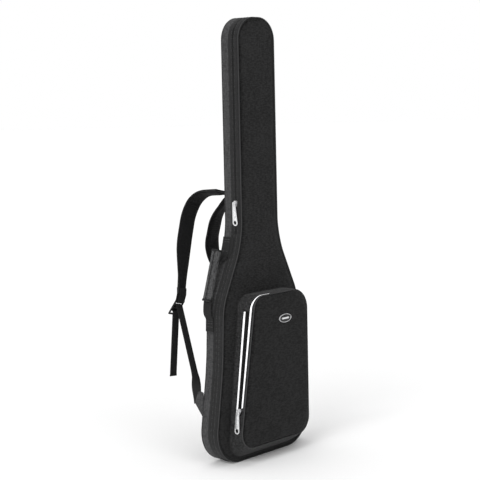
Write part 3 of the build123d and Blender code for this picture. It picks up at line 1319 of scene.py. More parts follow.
@dataclass
class SewnSide:
    """The cloth that joins the lid to the tray low on the left side, where there is no zip."""

    shop: Workshop
    loop: Loop
    zip_run: ZipRun

    def build(self) -> None:
        """Makes the strip along the side where there is no zip, and the tack at the zip's end."""
        indices = self.loop.run(lambda point: not self.zip_run.holds(point))
        steps = [-16.2 + 10.4 * i / 20 for i in range(21)]
        section = [(0.15, depth) for depth in steps] + [(1.5, depth) for depth in reversed(steps)]
        bm = follow(self.loop, section, [indices[0] - 1, *indices, indices[-1] + 1])
        self.shop.bridge("sewn_side_strip", bm, PLAIN, (Body.TRAY, Body.LID),
                         (Vector((-150.0, -8.2, 300.0)), Vector((-150.0, -13.8, 300.0))))
        foot = self.loop.at(indices[0] - 1, -0.5, self.zip_run.middle)
        run = (self.loop.at(indices[0], 0.0, 0.0) - self.loop.at(indices[0] - 1, 0.0, 0.0)).normalized()
        sides = [BACKWARD] * 3
        path = [foot - run * 4.0, foot, foot + run * 4.0]
        self.shop.place("zip_end_tack", ribbon(path, sides, [9.0] * 3, 1.2), ZIP_TAPE, Body.TRAY)


# ---- inside the tray ----------------------------------------------------------------------------
@dataclass
class Interior:
    """What holds the instrument: a neck cradle, a neck strap and an end bumper."""

    shop: Workshop
    nodes: dict[str, Piece]
    strap_z: float = 745.0
    strap_width: float = 40.0

    def block(self, name: str, finish: Finish, voxel: float, cap: float) -> None:
        """A padded block that takes its form from its CAD node.

        Args:
            name: the CAD node.
            finish: its cover.
            voxel: the spacing of its points.
            cap: how far its cover may swell.
        """
        bm = self.shop.softened(self.nodes[name], 1.0)
        made = self.shop.shape(f"padded_{name}", bm, finish)
        self.shop.stuff(made, voxel, cap, fill=0.8)
        self.shop.settle(made, finish, Body.TRAY, [name])

    def strap_half(self, name: str, route: Section) -> None:
        """One half of the neck strap, from the tray's wall over the cradle, from its places in X and Y.

        Args:
            name: the CAD node.
            route: its places in X and Y.
        """
        path = evenly([Vector((x, y, self.strap_z)) for x, y in route], 3.0)
        sides = [UPWARD] * len(path)
        bm = ribbon(path, sides, [self.strap_width] * len(path), 1.8)
        self.shop.place(name + "_tape", bm, HOOK_LOOP, Body.TRAY, [name])

    def build(self) -> None:
        """Makes the blocks and the strap."""
        self.block("neck_cradle", CRADLE_CLOTH, voxel=4.5, cap=2.0)
        self.block("end_bumper", RUBBER, voxel=4.0, cap=0.6)
        self.strap_half("neck_strap_loop_side", [(-61.6, 10.0), (-61.8, -9.0), (-59.0, -11.0), (6.0, -11.0)])
        self.strap_half("neck_strap_hook_side", [(61.6, 10.0), (61.8, -10.0), (59.0, -13.2), (-10.0, -13.2)])


# ---- the front pocket ---------------------------------------------------------------------------
@dataclass
class Pocket:
    """The box pocket on the lid: its left side slants and carries the zip between reflective tapes."""

    shop: Workshop
    right: float = 131.0
    top: float = 450.0
    floors: tuple[float, float] = (14.0, 46.0)
    feet: tuple[float, float] = (-144.0, -149.0)
    heads: tuple[float, float] = (-92.0, -79.0)
    radii: tuple = (46.0, 58.0, 36.0, 46.0)
    back: float = -29.8
    rim: float = -79.0
    segments: int = 12
    cuts: int = 34
    rear: Loop = field(init=False)
    front: Loop = field(init=False)

    def __post_init__(self) -> None:
        """Works out the outlines at the lid and at the front panel."""
        self.rear, self.front = (self.outline(end) for end in (0, 1))

    def outline(self, end: int) -> Loop:
        """One outline, with the same number of points as the other.

        Args:
            end: 0 at the lid, 1 at the front panel.

        Returns:
            The outline.
        """
        floor, foot, head = self.floors[end], self.feet[end], self.heads[end]
        corners = [Vector((x, 0.0, z)) for x, z in
                   ((self.right, floor), (self.right, self.top), (head, self.top), (foot, floor))]
        bm = bmesh.new()
        rounded_face(bm, corners, self.radii, lambda length: self.segments)
        sides = [edge for edge in bm.edges if edge.calc_length() > 40.0]
        bmesh.ops.subdivide_edges(bm, edges=sides, cuts=self.cuts)
        return Loop(ring_from(bm, lambda point: point.z - point.x * 0.02))

    def at(self, index: int, share: float, out: float = 0.0) -> Vector:
        """A place on the side wall.

        Args:
            index: which point of the outlines.
            share: how far from the lid to the front panel, from 0 to 1.
            out: how far off the wall.

        Returns:
            The place.
        """
        count = len(self.rear.points)
        near, far = self.rear.points[index % count], self.front.points[index % count]
        way = self.rear.outward[index % count].lerp(self.front.outward[index % count], share)
        swell = 1.8 * math.sin(math.pi * min(max(share, 0.0), 1.0))
        flat = near.lerp(far, share) + way.normalized() * (out + swell)
        return Vector((flat.x, self.back + (self.rim - self.back) * share, flat.z))

    def left_run(self, low: float, high: float, share: float) -> list[int]:
        """The points of the slanting left side between two heights, from the foot up.

        Args:
            low: the lowest Z.
            high: the highest Z.
            share: how far from the lid it is measured.

        Returns:
            The points' numbers.
        """
        found = [i for i in range(len(self.rear.points))
                 if self.at(i, share).x < 0 and low <= self.at(i, share).z <= high]
        return sorted(found, key=lambda i: self.at(i, share).z)

    def strip(self, indices: Sequence[int], shares: Callable[[float], tuple[float, float]],
              lift: float, thick: float) -> Form:
        """A flat tape on the wall, whose edges may wander as it goes.

        Args:
            indices: the points that it goes along.
            shares: its two edges on the wall, at a share of its length.
            lift: how far off the wall it lies.
            thick: how thick it is.

        Returns:
            The tape.
        """
        rings = []
        for step, index in enumerate(indices):
            low, high = shares(step / max(1, len(indices) - 1))
            spots = [low, low + (high - low) * 0.5, high]
            outer = [self.at(index, s, lift + thick) for s in spots]
            rings.append(outer + [self.at(index, s, lift) for s in reversed(spots)])
        return loft(rings)

    def wall(self) -> None:
        """The pocket's side wall with the welt at its foot and the piping at its rim."""
        count = len(self.rear.points)
        shares = [i / 10 for i in range(11)]
        rings = []
        for index in range(count):
            outer = [self.at(index, s) for s in shares]
            inner = [self.at(index, s, -3.0) for s in reversed(shares)]
            rings.append(outer + inner)
        bm = loft(rings, looped=True)
        rumple(bm, feature=30.0, height=0.6, seed=5.0)
        self.shop.place("pocket_side_wall", bm, POCKET_SIDE, Body.LID, ["pocket_gusset"])
        for name, share, out, radius, finish in (
            ("pocket_rim_piping", 1.0, -0.6, 1.7, PIPING), ("pocket_foot_welt", 0.03, 0.2, 1.3, PLAIN),
        ):
            line = [self.at(i, share, out) for i in range(count)]
            loop = Loop([Vector((p.x, 0.0, p.z)) for p in line])
            bm = follow(loop, cord_section(0.0, line[0].y, radius))
            stands_for = ["pocket_piping"] if share == 1.0 else []
            self.shop.place(name, bm, finish, Body.LID, stands_for)

    def face(self) -> None:
        """The padded front panel, in the panel cloth darkened as painted shade."""
        ring = [self.front.at(i, 1.6, self.rim + 4.0) for i in range(len(self.front.points))]
        made = self.shop.shape("pocket_padded_front", slab(ring, Vector((0.0, -5.2, 0.0))), POCKET_FACE_SHADED)
        self.shop.stuff(made, voxel=2.8, cap=2.4, fill=0.4, pressure=3.0, finer=False)
        for vert in made.data.vertices:
            if vert.co.y < (self.rim + 1.0) * MM:
                swell = noise.noise(vert.co / 0.07 + Vector((9.0, 0.0, 0.0)))
                vert.co.y -= swell * 0.8 * MM
        self.shop.settle(made, POCKET_FACE_SHADED, Body.LID, ["pocket_front_panel"])

    def zip_and_tapes(self) -> None:
        """The two reflective tapes with the zip between them."""
        rise = self.left_run(148.0, 412.0, 0.5)
        rear = self.strip(self.left_run(124.0, 412.0, 0.5),
                          lambda t: (0.44 + 0.2 * max(0.0, t - 0.92), 0.545), lift=0.2, thick=0.7)
        top = [i for i in range(len(self.rear.points))
               if self.at(i, 0.9).z > 412.0 and self.at(i, 0.9).x < -20.0]
        order = rise + sorted((i for i in top if i not in rise), reverse=True)
        bend = len(rise) / len(order)

        def front_edges(t: float) -> tuple[float, float]:
            """The front tape keeps its width up the side, then slims towards the rim over the top."""
            past = max(0.0, t - bend) / (1.0 - bend)
            return 0.80 + 0.14 * min(1.0, past * 1.6), 0.885 + 0.075 * min(1.0, past * 1.6)

        front = self.strip(order, front_edges, lift=0.2, thick=0.7)
        tapes = joined([rear, front])
        self.shop.place("reflective_tapes", tapes, TAPE_BRIGHT, Body.LID, ["reflective_strips"])
        tape = self.strip(rise, lambda t: (0.55, 0.795), lift=0.1, thick=0.5)
        self.shop.place("pocket_zip_tape", tape, ZIP_TAPE, Body.LID, ["pocket_zip_coil"])
        path = evenly([self.at(i, 0.675, 1.1) for i in rise], 1.7)
        places = []
        for here, after in zip(path, path[1:]):
            lean = after - here
            for side in (-1.0, 1.0):
                spot = here.lerp(after, 0.5 + 0.25 * side) + Vector((0.0, 1.2 * side, 0.0))
                places.append(standing(spot, BACKWARD + lean.normalized() * 0.16))
        coil = pegs(places, radius=0.6, length=3.2, sides=6)
        self.shop.place("pocket_coil_turns", coil, COIL, Body.LID)
        stop = self.left_run(122.0, 150.0, 0.5)[-2:]
        bm = self.strip(stop, lambda t: (0.40, 0.88), lift=0.9, thick=0.8)
        self.shop.place("pocket_zip_end_stop", bm, ZIP_TAPE, Body.LID, ["pocket_zip_stop"])

    def badge(self) -> None:
        """A plain oval badge: a rim, a dark field and a bar."""
        low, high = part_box("badge")
        centre = (low + high) / (2 * MM)
        front = self.rim - 6.2

        def oval(width: float, height: float, depth: float) -> Ring:
            """The points of an oval."""
            return [Vector((centre.x + width * math.cos(t), depth, centre.z + height * math.sin(t)))
                    for t in turns(48)]

        rim = plate([oval(24.0, 11.5, front), oval(22.3, 10.1, front)], Vector((0.0, 5.4, 0.0)), bevel=0.35)
        drawn = corner_loop(oblong(14.0, -2.4, 2.4), [2.2] * 4, 0.5)
        bar_ring = [Vector((centre.x + p.x, front - 0.1, centre.z + p.z)) for p in drawn]
        bar = plate([bar_ring], Vector((0.0, 3.0, 0.0)), bevel=0.35)
        self.shop.place("badge_rim_and_bar", joined([rim, bar]), BADGE_RIM, Body.LID, ["badge"])
        field_plate = plate([oval(22.6, 10.4, front + 0.9)], Vector((0.0, 4.5, 0.0)), bevel=0.2)
        self.shop.place("badge_dark_field", field_plate, BADGE_FIELD, Body.LID)

    def build(self) -> None:
        """Makes the whole pocket."""
        self.wall()
        self.face()
        self.zip_and_tapes()
        self.badge()


# ---- zip sliders --------------------------------------------------------------------------------
@dataclass
class ZipSlider:
    """A metal slider on its zip, with a pull that hangs from its bridge."""

    shop: Workshop
    prefix: str
    place: Matrix
    bodies: tuple[Body, Body]
    pull_length: float = 62.0
    pull_foot: float = 9.4
    pull_head: float = 4.8
    pull_lean: float = 0.07
    pull_off: float = 7.6
    thick: float = 1.8

    def laid(self, points: Iterable[tuple[float, float]], off: float, lean: float = 0.0) -> Ring:
        """Points across and along the zip, put on a plane a way off the zip that may lean towards it."""
        return [self.place @ Vector((-off - along * lean, across, along)) for across, along in points]

    def out(self, distance: float) -> Vector:
        """A step straight off the zip."""
        return self.place.to_3x3() @ Vector((-distance, 0.0, 0.0))

    def rounded(self, corners: Section, radii: Sequence[float]) -> Section:
        """A rounded figure across and along the zip."""
        return [(p.x, p.z) for p in corner_loop(corners, radii, 0.6)]

    def build(self) -> None:
        """Makes the slider and its pull."""
        corners = [(-3.6, -8), (3.6, -8), (5.6, 1), (5.0, 8), (-5.0, 8), (-5.6, 1)]
        outline = self.rounded(corners, [2, 2, 3, 3, 3, 3])
        lower = plate([self.laid(outline, 0.2)], self.out(1.3), bevel=0.35)
        upper = plate([self.laid(outline, 2.6)], self.out(1.5), bevel=0.5)
        post = plate([self.laid(self.rounded(oblong(1.6, 2.0, 7.0), [0.6] * 4), 1.0)],
                     self.out(2.2), bevel=0.2)
        arch = [(4.0, 6.0), (6.0, 5.6), (7.2, 3.6), (7.3, 0.5), (6.8, -2.4), (5.4, -4.6), (4.0, -5.0)]
        path = [self.place @ Vector((-off, 0.0, along)) for off, along in arch]
        bridge = tube(evenly(path, 0.8), radius=1.15)
        self.shop.place(f"{self.prefix}_slider_body", joined([lower, upper, post, bridge]), PLATED,
                        self.bodies[0], [f"{self.prefix}_slider"])
        length, foot, head = self.pull_length, self.pull_foot, self.pull_head
        figure = self.rounded(
            [(-head, 4.5), (-foot * 0.86, -length * 0.72), (-foot, 3 - length), (foot, 3 - length),
             (foot * 0.86, -length * 0.72), (head, 4.5)], [2.4, 20.0, foot * 0.9, foot * 0.9, 20.0, 2.4])
        eye = self.rounded(oblong(1.9, 0.2, 3.2), [1.2] * 4)
        hole = [(5.0 * math.cos(t), 3 - length + 8.8 + 5.0 * math.sin(t)) for t in turns(20)]
        off, lean = self.pull_off, self.pull_lean
        rings = [self.laid(ring, off, lean) for ring in (figure, eye, hole)]
        pull = plate(rings, self.out(self.thick), bevel=0.45)
        waist = self.rounded([(-head * 0.5, -8), (head * 0.5, -8), (foot * 0.45, -length * 0.62),
                              (-foot * 0.45, -length * 0.62)], [1.2] * 4)
        raised = plate([self.laid(waist, off + self.thick - 0.3, lean)], self.out(0.8), bevel=0.3)
        self.shop.place(f"{self.prefix}_pull_plate", joined([pull, raised]), PLATED,
                        self.bodies[1], [f"{self.prefix}_pull"])


# ---- the carry handle ---------------------------------------------------------------------------
@dataclass
class CarryHandle:
    """The handle on the left shoulder: webbing sewn to the gusset, with a padded grip round it."""

    shop: Workshop
    loop: Loop
    depth: float = 17.0
    width: float = 28.0
    grip_top: tuple[float, float] = (-120.0, 573.0)
    grip_foot: tuple[float, float] = (-162.0, 440.0)

    def sewn(self, high: float, low: float, out: float) -> Ring:
        """A line down the left of the bag's wall between two heights, a way off it."""
        found = [self.loop.at(i, -out, self.depth) for i in range(len(self.loop.points))]
        return sorted((p for p in found if p.x < 0 and low <= p.z <= high), key=lambda p: -p.z)

    def webbing(self, name: str, route: Ring, ends: Span, stands_for: Sequence[str]) -> None:
        """One end of the handle's webbing, which bends where it leaves its seam.

        Args:
            name: the piece's name.
            route: its middle line.
            ends: two points passed on to the bridge, which does not use them.
            stands_for: the CAD nodes that it replaces.
        """
        path = eased(evenly(route, 2.5), 6)
        sides = [BACKWARD] * len(path)
        bm = ribbon(path, sides, [self.width] * len(path), 2.2)
        self.shop.bridge(name, bm, HANDLE_WEB, (Body.TRAY, Body.HANDLE), ends, stands_for)

    def bars(self, name: str, heights: Sequence[float], out: float) -> None:
        """Rows of stitches across the webbing where it is sewn down.

        Args:
            name: the piece's name.
            heights: the Z of each row.
            out: how far off the wall they lie.
        """
        rows = []
        for height in heights:
            spot = min(self.sewn(620.0, 330.0, out), key=lambda p: abs(p.z - height))
            reach = self.width / 2 - 2
            path = [Vector((spot.x, self.depth + across, height)) for across in (-reach, reach)]
            rows.append(stitch_row(path, pitch=3.2, length=2.4, radius=0.5))
        self.shop.place(name, joined(rows), THREAD, Body.TRAY)

    def grip(self) -> None:
        """The padded grip, with its long seam and bound ends."""
        top, foot = (Vector((x, self.depth, z)) for x, z in (self.grip_top, self.grip_foot))
        run = (top - foot).normalized()
        across, out = BACKWARD, run.cross(BACKWARD)
        figure = corner_loop(oblong(12.5, -10.2, 10.2), [9.0] * 4, 2.0)

        def ring(share: float, swell: float) -> Ring:
            """The grip's section at a share of its length."""
            middle = foot.lerp(top, share)
            return [middle + (across * p.x + out * p.z) * swell for p in figure]

        shares = [i / 24 for i in range(25)]
        made = self.shop.shape("handle_padded_grip", loft([ring(s, 1.0) for s in shares]), GRIP_CLOTH)
        self.shop.stuff(made, voxel=3.2, cap=1.7, fill=0.8)
        self.shop.settle(made, GRIP_CLOTH, Body.HANDLE, ["handle_grip", "handle_webbing"])
        face = -out if out.x > 0 else out
        line = [foot.lerp(top, s) + face * 11.9 - across * 4.5 for s in shares[1:-1]]
        self.shop.place("grip_seam", tube(line, 0.9, 6), PLAIN, Body.HANDLE)
        stitches = [stitch_row([p + across * off for p in line], pitch=4.0, length=2.8, radius=0.45)
                    for off in (-2.6, 2.6)]
        self.shop.place("grip_stitches", joined(stitches), THREAD, Body.HANDLE)
        for name, share in (("grip_lower_binding", 0.02), ("grip_upper_binding", 0.98)):
            band = [ring(share + along, swell) for along, swell in
                    ((-0.018, 1.06), (-0.018, 1.12), (0.018, 1.12), (0.018, 1.06))]
            self.shop.place(name, loft(band), HANDLE_WEB, Body.HANDLE)

    def build(self) -> None:
        """Makes the webbing ends, their stitches and the grip."""
        y = self.depth
        upper = self.sewn(high=602.0, low=556.0, out=2.0) + [
            Vector((-101.0, y, 547.0)), Vector((-109.0, y, 541.5)), Vector((-120.0, y, 545.0)),
            Vector((-127.0, y, 548.0)), Vector((-131.0, y, 540.0))]
        bend = (Vector((-103.0, y, 543.0)), Vector((-116.0, y, 543.0)))
        self.webbing("handle_upper_webbing", upper, bend, ["handle_upper_tab"])
        lower = [Vector((-157.0, y, 450.0)), Vector((-161.5, y, 430.0)), Vector((-163.0, y, 412.0)),
                 Vector((-160.5, y, 400.0))] + self.sewn(high=393.0, low=352.0, out=2.0)
        bend = (Vector((-157.0, y, 397.0)), Vector((-160.0, y, 412.0)))
        self.webbing("handle_lower_webbing", lower, bend, ["handle_lower_tab"])
        line = [Vector((p.x, 12.0, p.z)) for p in self.sewn(high=606.0, low=548.0, out=1.0)]
        patch = evenly(line, 4.0)
        widths = [40.0 if i < len(patch) - 3 else 34.0 for i in range(len(patch))]
        self.shop.place("handle_upper_patch", ribbon(patch, [BACKWARD] * len(patch), widths, 1.4),
                        HANDLE_WEB, Body.TRAY)
        self.bars("upper_bar_stitches", (596.0, 590.0, 566.0, 560.0), out=3.3)
        self.bars("lower_bar_stitches", (386.0, 380.0, 371.0, 358.0), out=3.3)
        self.grip()


# ---- the backpack straps ------------------------------------------------------------------------
@dataclass
class ShoulderStrap:
    """One backpack strap, drawn on the right, along and behind the line that it swings about."""

    shop: Workshop
    nodes: dict[str, Piece]
    side: str
    body: Body
    route: tuple
    bends: tuple
    lean_deg: float = 0.0
    top: Vector = field(default_factory=lambda: Vector((45.0, 43.0, 715.0)))
    foot: Vector = field(default_factory=lambda: Vector((172.0, 50.0, 172.0)))
    pad_width: float = 52.0
    pad_thick: float = 8.5
    web_width: float = 25.0
    web_thick: float = 1.7
    stay_width: float = 24.0
    binding_radius: float = 2.3
    lock_top: tuple[float, float] = (305.0, 121.5)
    lock_run: tuple[float, float] = (0.874, 0.486)
    tail: Vector = field(default_factory=lambda: Vector((0.0, 18.0, -182.0)))

    def __post_init__(self) -> None:
        """Works out the strap's own directions."""
        self.along = (self.foot - self.top).normalized()
        turned = Matrix.Rotation(math.radians(-self.lean_deg), 3, self.along)
        self.across = turned @ self.along.cross(BACKWARD).normalized()
        self.behind = self.across.cross(self.along)
        self.facing = turned.inverted() @ self.across
        self.tail = turned @ self.tail

    def at(self, along: float, behind: float) -> Vector:
        """A place in the strap's own plane."""
        return self.top + self.along * along + self.behind * behind

    def at_lock(self, along: float, out: float) -> Vector:
        """A place on the ladder lock, from its top bar."""
        run, start = self.lock_run, self.lock_top
        return self.at(start[0] + run[0] * along - run[1] * out, start[1] + run[1] * along + run[0] * out)

    def pad_line(self) -> Ring:
        """The middle line of the padded part."""
        drawn = corner_loop(self.route, [0.0, *self.bends, 0.0], 6.0)
        return [self.at(p.x, p.z) for p in evenly(drawn, 7.0)]

    def pad_half_width(self, share: float) -> float:
        """Half the pad's width at a share of its length: wide over the shoulder, slim at its foot."""
        slim = min(1.0, max(0.0, (share - 0.60) / 0.38))
        return self.pad_width / 2 * (1.0 - 0.52 * slim * slim * (3 - 2 * slim))

    def pad_side(self, share: float, run: Vector) -> Vector:
        """The way across the pad at a share of its length, at right angles to its run.

        Args:
            share: how far along the pad.
            run: the pad's direction there.

        Returns:
            The way across.
        """
        settled = min(1.0, share * 5.0, (1.0 - share) * 4.0)
        side = self.across.lerp(self.facing, settled)
        return (side - run * side.dot(run)).normalized()

    def pad_frames(self) -> list[tuple[Vector, Vector, Vector, float]]:
        """The place, the way across, the way off and half the width, all along the pad.

        Returns:
            One set for each point of the middle line.
        """
        line, frames = self.pad_line(), []
        for index, (place, run) in enumerate(zip(line, directions(line))):
            share = index / (len(line) - 1)
            side = self.pad_side(share, run)
            frames.append((place, side, run.cross(side), self.pad_half_width(share)))
        return frames

    def pad(self) -> Form:
        """The padded part before it is stuffed.

        Returns:
            Its form, on the right.
        """
        rings, thick = [], self.pad_thick / 2
        for place, side, up, half in self.pad_frames():
            figure = corner_loop(oblong(half, -thick, thick), [3.8] * 4, 1.8)
            rings.append([place + side * p.x + up * p.z for p in figure])
        return loft(rings)

    def bound_edges(self) -> Form:
        """The woven binding sewn round the pad's two long edges.

        Returns:
            Its form, on the right.
        """
        frames = self.pad_frames()
        return joined(tube([place + side * way * (half - 0.4) for place, side, _, half in frames],
                           self.binding_radius) for way in (-1.0, 1.0))

    def stay(self) -> Form:
        """The webbing sewn down the middle of the pad's outer face.

        Returns:
            Its form, on the right.
        """
        path, sides = [], []
        outer = self.behind + Vector((0.0, 0.0, 0.3))
        for place, side, up, _ in self.pad_frames()[3:]:
            up = up if up.dot(outer) > 0 else -up
            path.append(place + up * (self.pad_thick / 2 + 1.6))
            sides.append(side)
        return ribbon(path, sides, [self.stay_width] * len(path), 1.5)

    def lock_loop(self) -> Form:
        """The webbing loop that holds the ladder lock to the pad.

        Returns:
            Its form, on the right.
        """
        over_bar = [self.at_lock(*place) for place in ((2.6, 4.2), (5.0, 1.0), (5.0, -3.5), (2.4, -6.0))]
        route = [self.at(268.0, 128.5), self.at(285.0, 124.6), *over_bar,
                 self.at(285.0, 113.2), self.at(268.0, 116.0)]
        path = eased(evenly(route, 2.0), 3)
        return ribbon(path, [self.across] * len(path), [self.web_width] * len(path), self.web_thick)

    def lower_webbing(self) -> Form:
        """The adjusting webbing: from its tab, twisting flat, through the lock and down as a tail.

        Returns:
            Its form, on the right.
        """
        tab = Vector((172.0, 52.0, 163.0))
        start = self.at(500.0, 20.5)
        threaded = [self.at_lock(*place) for place in
                    ((11.0, -6.5), (10.6, 3.0), (13.0, 4.8), (29.0, 4.8), (31.4, 3.0), (31.0, -6.0))]
        hang = threaded[-1] + self.tail
        path = evenly([tab, start], 5.0)[:-1] + evenly([start, threaded[0]], 6.0)[:-1]
        twisting = len(path)
        path += evenly(threaded, 1.6)[:-1] + evenly([threaded[-1], hang], 7.0)
        path.append(hang + Vector((0.0, 1.6, 3.0)))
        sides = []
        in_tab = Vector((0.0, 1.0, 0.15)).normalized()
        for index, place in enumerate(path):
            share = min(1.0, (place - tab).length / 95.0)
            share = share * share * (3 - 2 * share) if index < twisting else 1.0
            sides.append(in_tab.lerp(self.across, share).normalized())
        return ribbon(path, sides, [self.web_width] * len(path), self.web_thick)

    def root(self) -> Form:
        """The gathered end between the pad and the patch on the bag's back.

        Returns:
            Its form, on the right.
        """
        line = [Vector((45.0, 31.5, 716.0)), Vector((45.0, 38.0, 717.5)), Vector((45.0, 50.0, 718.0)),
                self.at(-3.0, 25.0)]
        path = eased(evenly(line, 3.0), 2)
        widths = [44.0 + 8.0 * i / (len(path) - 1) for i in range(len(path))]
        sides = [Vector((1.0, 0.0, 0.0)).lerp(self.across, i / (len(path) - 1)) for i in range(len(path))]
        return ribbon(path, sides, widths, 3.4)

    def put(self, name: str, bm: Form, finish: Finish, node: str = "",
            ends: Optional[Span] = None, stuffed: bool = False) -> None:
        """Places a piece, turned over to the left for the left strap.

        Args:
            name: the piece's name after its side.
            bm: its form on the right.
            finish: its surface.
            node: the CAD node that it stands for, after its side.
            ends: for a piece between the bag and the strap, two points passed on to the bridge, which does
                not use them; such a piece rides on no body.
            stuffed: whether it is padded.
        """
        left = self.side == "left"
        if left:
            bmesh.ops.scale(bm, vec=(-1.0, 1.0, 1.0), verts=bm.verts)
            bmesh.ops.reverse_faces(bm, faces=bm.faces)
        stands_for = [f"{self.side}_{node}"] if node else []
        name = f"{self.side}_{name}"
        if ends:
            turned = [Vector((-p.x, p.y, p.z)) if left else p for p in ends]
            self.shop.bridge(name, bm, finish, (Body.TRAY, self.body), (turned[0], turned[1]), stands_for)
            return
        made = self.shop.shape(name, bm, finish)
        if stuffed:
            self.shop.stuff(made, voxel=3.6, cap=2.0, fill=0.7)
        self.shop.settle(made, finish, self.body, stands_for)

    def build(self) -> None:
        """Makes the strap."""
        self.put("padded_strap", self.pad(), PAD_CLOTH, "shoulder_pad", stuffed=True)
        self.put("pad_binding", self.bound_edges(), STRAP_WEB)
        self.put("pad_stay", self.stay(), STRAP_WEB)
        self.put("lock_loop", self.lock_loop(), STRAP_WEB, "pad_loop")
        self.put("lower_webbing", self.lower_webbing(), STRAP_WEB, "strap_webbing",
                 (Vector((172.0, 53.0, 164.0)), self.at(470.0, 32.0)))
        self.put("strap_root", self.root(), PAD_CLOTH, "",
                 (Vector((45.0, 36.0, 717.0)), Vector((45.0, 60.0, 717.0))))
        lock = f"{self.side}_ladder_lock"
        frame = self.shop.softened(self.nodes[lock], 0.8)
        self.shop.place(f"{self.side}_lock_frame", frame, BUCKLE, self.body, [lock])


@dataclass
class StrapMounts:
    """What the straps are sewn to: a webbing across the back, and a folded tab low on each side."""

    shop: Workshop
    tab_x: float = 169.8
    tab_thick: float = 4.4
    patch_place: tuple[float, float] = (31.6, 716.0)
    patch_half: float = 67.0

    def tab(self, side: str, way: float) -> None:
        """The folded triangle of cloth that holds the lower webbing to the bag.

        Args:
            side: left or right.
            way: -1 on the left, 1 on the right.
        """
        corners = [(30.0, 194.0), (46.0, 198.0), (60.0, 163.0), (30.0, 126.0)]
        drawn = corner_loop(corners, [0.0, 6.0, 5.0, 0.0], 2.0)
        bm = plate([[Vector((self.tab_x * way, p.x, p.z)) for p in drawn]],
                   Vector((self.tab_thick * way, 0.0, 0.0)), bevel=0.9)
        self.shop.place(f"{side}_strap_tab_cloth", bm, HEATHER, Body.TRAY, [f"{side}_strap_tab"])
        hem = ((34.0, 186.0), (50.0, 163.0), (34.0, 136.0))
        rows = [stitch_row([Vector(((self.tab_x + off) * way, y, z)) for y, z in hem],
                           pitch=4.0, length=2.8, radius=0.4) for off in (-0.1, 4.5)]
        self.shop.place(f"{side}_strap_tab_stitches", joined(rows), THREAD, Body.TRAY)

    def build(self) -> None:
        """Makes the tabs, the webbing and its stitches."""
        self.tab("left", -1.0)
        self.tab("right", 1.0)
        ends = [Vector((x, *self.patch_place)) for x in (-self.patch_half, self.patch_half)]
        path = evenly(ends, 4.0)
        bm = ribbon(path, [UPWARD] * len(path), [44.0] * len(path), thick=2.4)
        self.shop.place("anchor_patch_webbing", bm, HANDLE_WEB, Body.TRAY, ["strap_anchor_patch"])
        rows = []
        for side in (-1.0, 1.0):
            ring = [Vector((45.0 * side + x, 33.0, 716.0 + z)) for x, z in
                    ((-17, -17), (17, -17), (17, 17), (-17, 17), (-17, -17), (17, 17))]
            rows += [stitch_row([a, b], pitch=4.0, length=2.8, radius=0.5) for a, b in zip(ring, ring[1:])]
        self.shop.place("anchor_stitches", joined(rows), THREAD, Body.TRAY)


# ---- base ---------------------------------------------------------------------------------------
@dataclass
class BasePatch:
    """The rubber patch that the bag stands on."""

    shop: Workshop
    nodes: dict[str, Piece]

    def build(self) -> None:
        """Makes the patch."""
        bm = self.shop.softened(self.nodes["base_patch"], 0.4)
        self.shop.place("base_rubber_patch", bm, RUBBER, Body.TRAY, ["base_patch"])


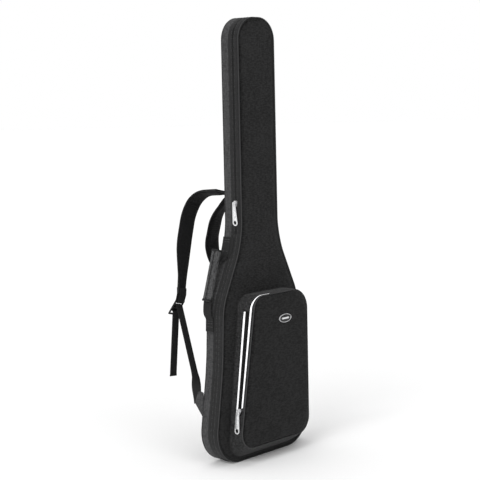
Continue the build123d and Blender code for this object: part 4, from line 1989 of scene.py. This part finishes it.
# ---- the studio ---------------------------------------------------------------------------------
@dataclass
class Studio:
    """A pale floor, soft lights and the camera."""

    camera_place: Vector = field(default_factory=lambda: Vector((-2.465755, -2.262531, 0.970997)))
    azimuth: float = -46.9046
    elevation: float = 6.5247
    roll: float = -1.3110
    lens: float = 93.50
    sky_light: float = 0.42
    floor_radius_m: float = 40.0

    def camera(self) -> None:
        """Places the camera and makes it the scene's own."""
        a, e, r = (math.radians(v) for v in (self.azimuth, self.elevation, self.roll))
        back = Vector((math.sin(a) * math.cos(e), -math.cos(a) * math.cos(e), math.sin(e)))
        right = (-back).cross(UPWARD).normalized()
        up = right.cross(-back)
        turned = right * math.cos(r) + up * math.sin(r)
        raised = up * math.cos(r) - right * math.sin(r)
        data = bpy.data.cameras.new("studio_camera")
        data.lens, data.sensor_width, data.clip_end = self.lens, 36.0, 200.0
        made = bpy.data.objects.new("studio_camera", data)
        made.matrix_world = Matrix((turned, raised, back)).transposed().to_4x4()
        made.location = self.camera_place
        bpy.context.scene.collection.objects.link(made)
        bpy.context.scene.camera = made

    def light(self, name: str, place: Colour, softness_deg: float, power: float) -> None:
        """One broad even light that shines from a direction.

        Args:
            name: its name.
            place: the direction that it comes from.
            softness_deg: how wide it looks from the bag.
            power: its strength.
        """
        data = bpy.data.lights.new(name, "SUN")
        data.energy, data.angle = power, math.radians(softness_deg)
        made = bpy.data.objects.new(name, data)
        made.rotation_euler = Vector(place).to_track_quat("Z", "Y").to_euler()
        bpy.context.scene.collection.objects.link(made)

    def build(self, shop: Workshop) -> None:
        """Makes the floor, the lights, the sky and the camera.

        Args:
            shop: what makes the floor.
        """
        bm = bmesh.new()
        bmesh.ops.create_circle(bm, cap_ends=True, segments=64, radius=self.floor_radius_m / MM)
        floor = shop.shape("studio_floor", bm, FLOOR)
        self.light("key_light", (-4.2, -1.0, 2.4), softness_deg=40.0, power=1.9)
        self.light("front_light", (-1.2, -4.6, 2.6), softness_deg=50.0, power=0.7)
        self.light("top_light", (0.3, 0.6, 4.2), softness_deg=60.0, power=1.0)
        world = bpy.data.worlds.new("studio_sky")
        world.use_nodes = True
        tree = world.node_tree
        tree.nodes.clear()
        seen, lit = (tree.nodes.new("ShaderNodeBackground") for _ in range(2))
        seen.inputs[0].default_value = lit.inputs[0].default_value = (1.0, 1.0, 1.0, 1.0)
        lit.inputs[1].default_value = self.sky_light
        path = tree.nodes.new("ShaderNodeLightPath")
        mixer = tree.nodes.new("ShaderNodeMixShader")
        out = tree.nodes.new("ShaderNodeOutputWorld")
        tree.links.new(path.outputs["Is Camera Ray"], mixer.inputs[0])
        tree.links.new(lit.outputs[0], mixer.inputs[1])
        tree.links.new(seen.outputs[0], mixer.inputs[2])
        tree.links.new(mixer.outputs[0], out.inputs[0])
        bpy.context.scene.world = world
        bpy.context.scene.view_settings.view_transform = "Standard"
        self.camera()


def slider_place(origin: Vector, lean: Vector) -> Matrix:
    """A slider's frame: its back at the origin, facing -X, its nose along a lean in X and Z.

    Args:
        origin: the middle of its back, on the zip.
        lean: the way that its nose points.

    Returns:
        The frame.
    """
    up = lean.normalized()
    facing = BACKWARD.cross(up)
    return Matrix.Translation(origin) @ Matrix((facing, BACKWARD, up)).transposed().to_4x4()


def main() -> None:
    """Builds the bag round its frame and the studio round the bag."""
    logging.basicConfig(level=logging.INFO, format="%(name)s %(message)s")
    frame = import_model()
    nodes = frame["nodes"]
    shop = Workshop()
    loop = BagOutline().loop()
    zip_run = ZipRun()
    Studio().build(shop)
    Tray(shop, loop, zip_run, Body.TRAY, "tray", 1.0).build()
    Lid(shop, loop, zip_run, Body.LID, "lid", -1.0).build()
    SewnSide(shop, loop, zip_run).build()
    Interior(shop, nodes).build()
    Pocket(shop).build()
    ZipSlider(shop, "main_zip", slider_place(Vector((-71.6, -11.0, 692.0)), UPWARD),
              (Body.MAIN_SLIDER, Body.MAIN_PULL)).build()
    ZipSlider(shop, "pocket_zip", slider_place(Vector((-131.0, -63.0, 149.0)), Vector((63.52, 0.0, 415.52))),
              (Body.POCKET_SLIDER, Body.POCKET_PULL)).build()
    CarryHandle(shop, loop).build()
    ShoulderStrap(shop, nodes, "left", Body.LEFT_STRAP,
                  ((-3, 21), (4, 112), (64, 138), (150, 139), (284, 119)), (60.0, 100.0, 300.0)).build()
    ShoulderStrap(shop, nodes, "right", Body.RIGHT_STRAP,
                  ((-3, 21), (8, 62), (68, 124), (180, 172), (282, 123)), (80.0, 120.0, 120.0), 12.0).build()
    StrapMounts(shop).build()
    BasePatch(shop, nodes).build()
    LOG.info("%d pieces in all", shop.count)


if __name__ == "__main__":
    main()
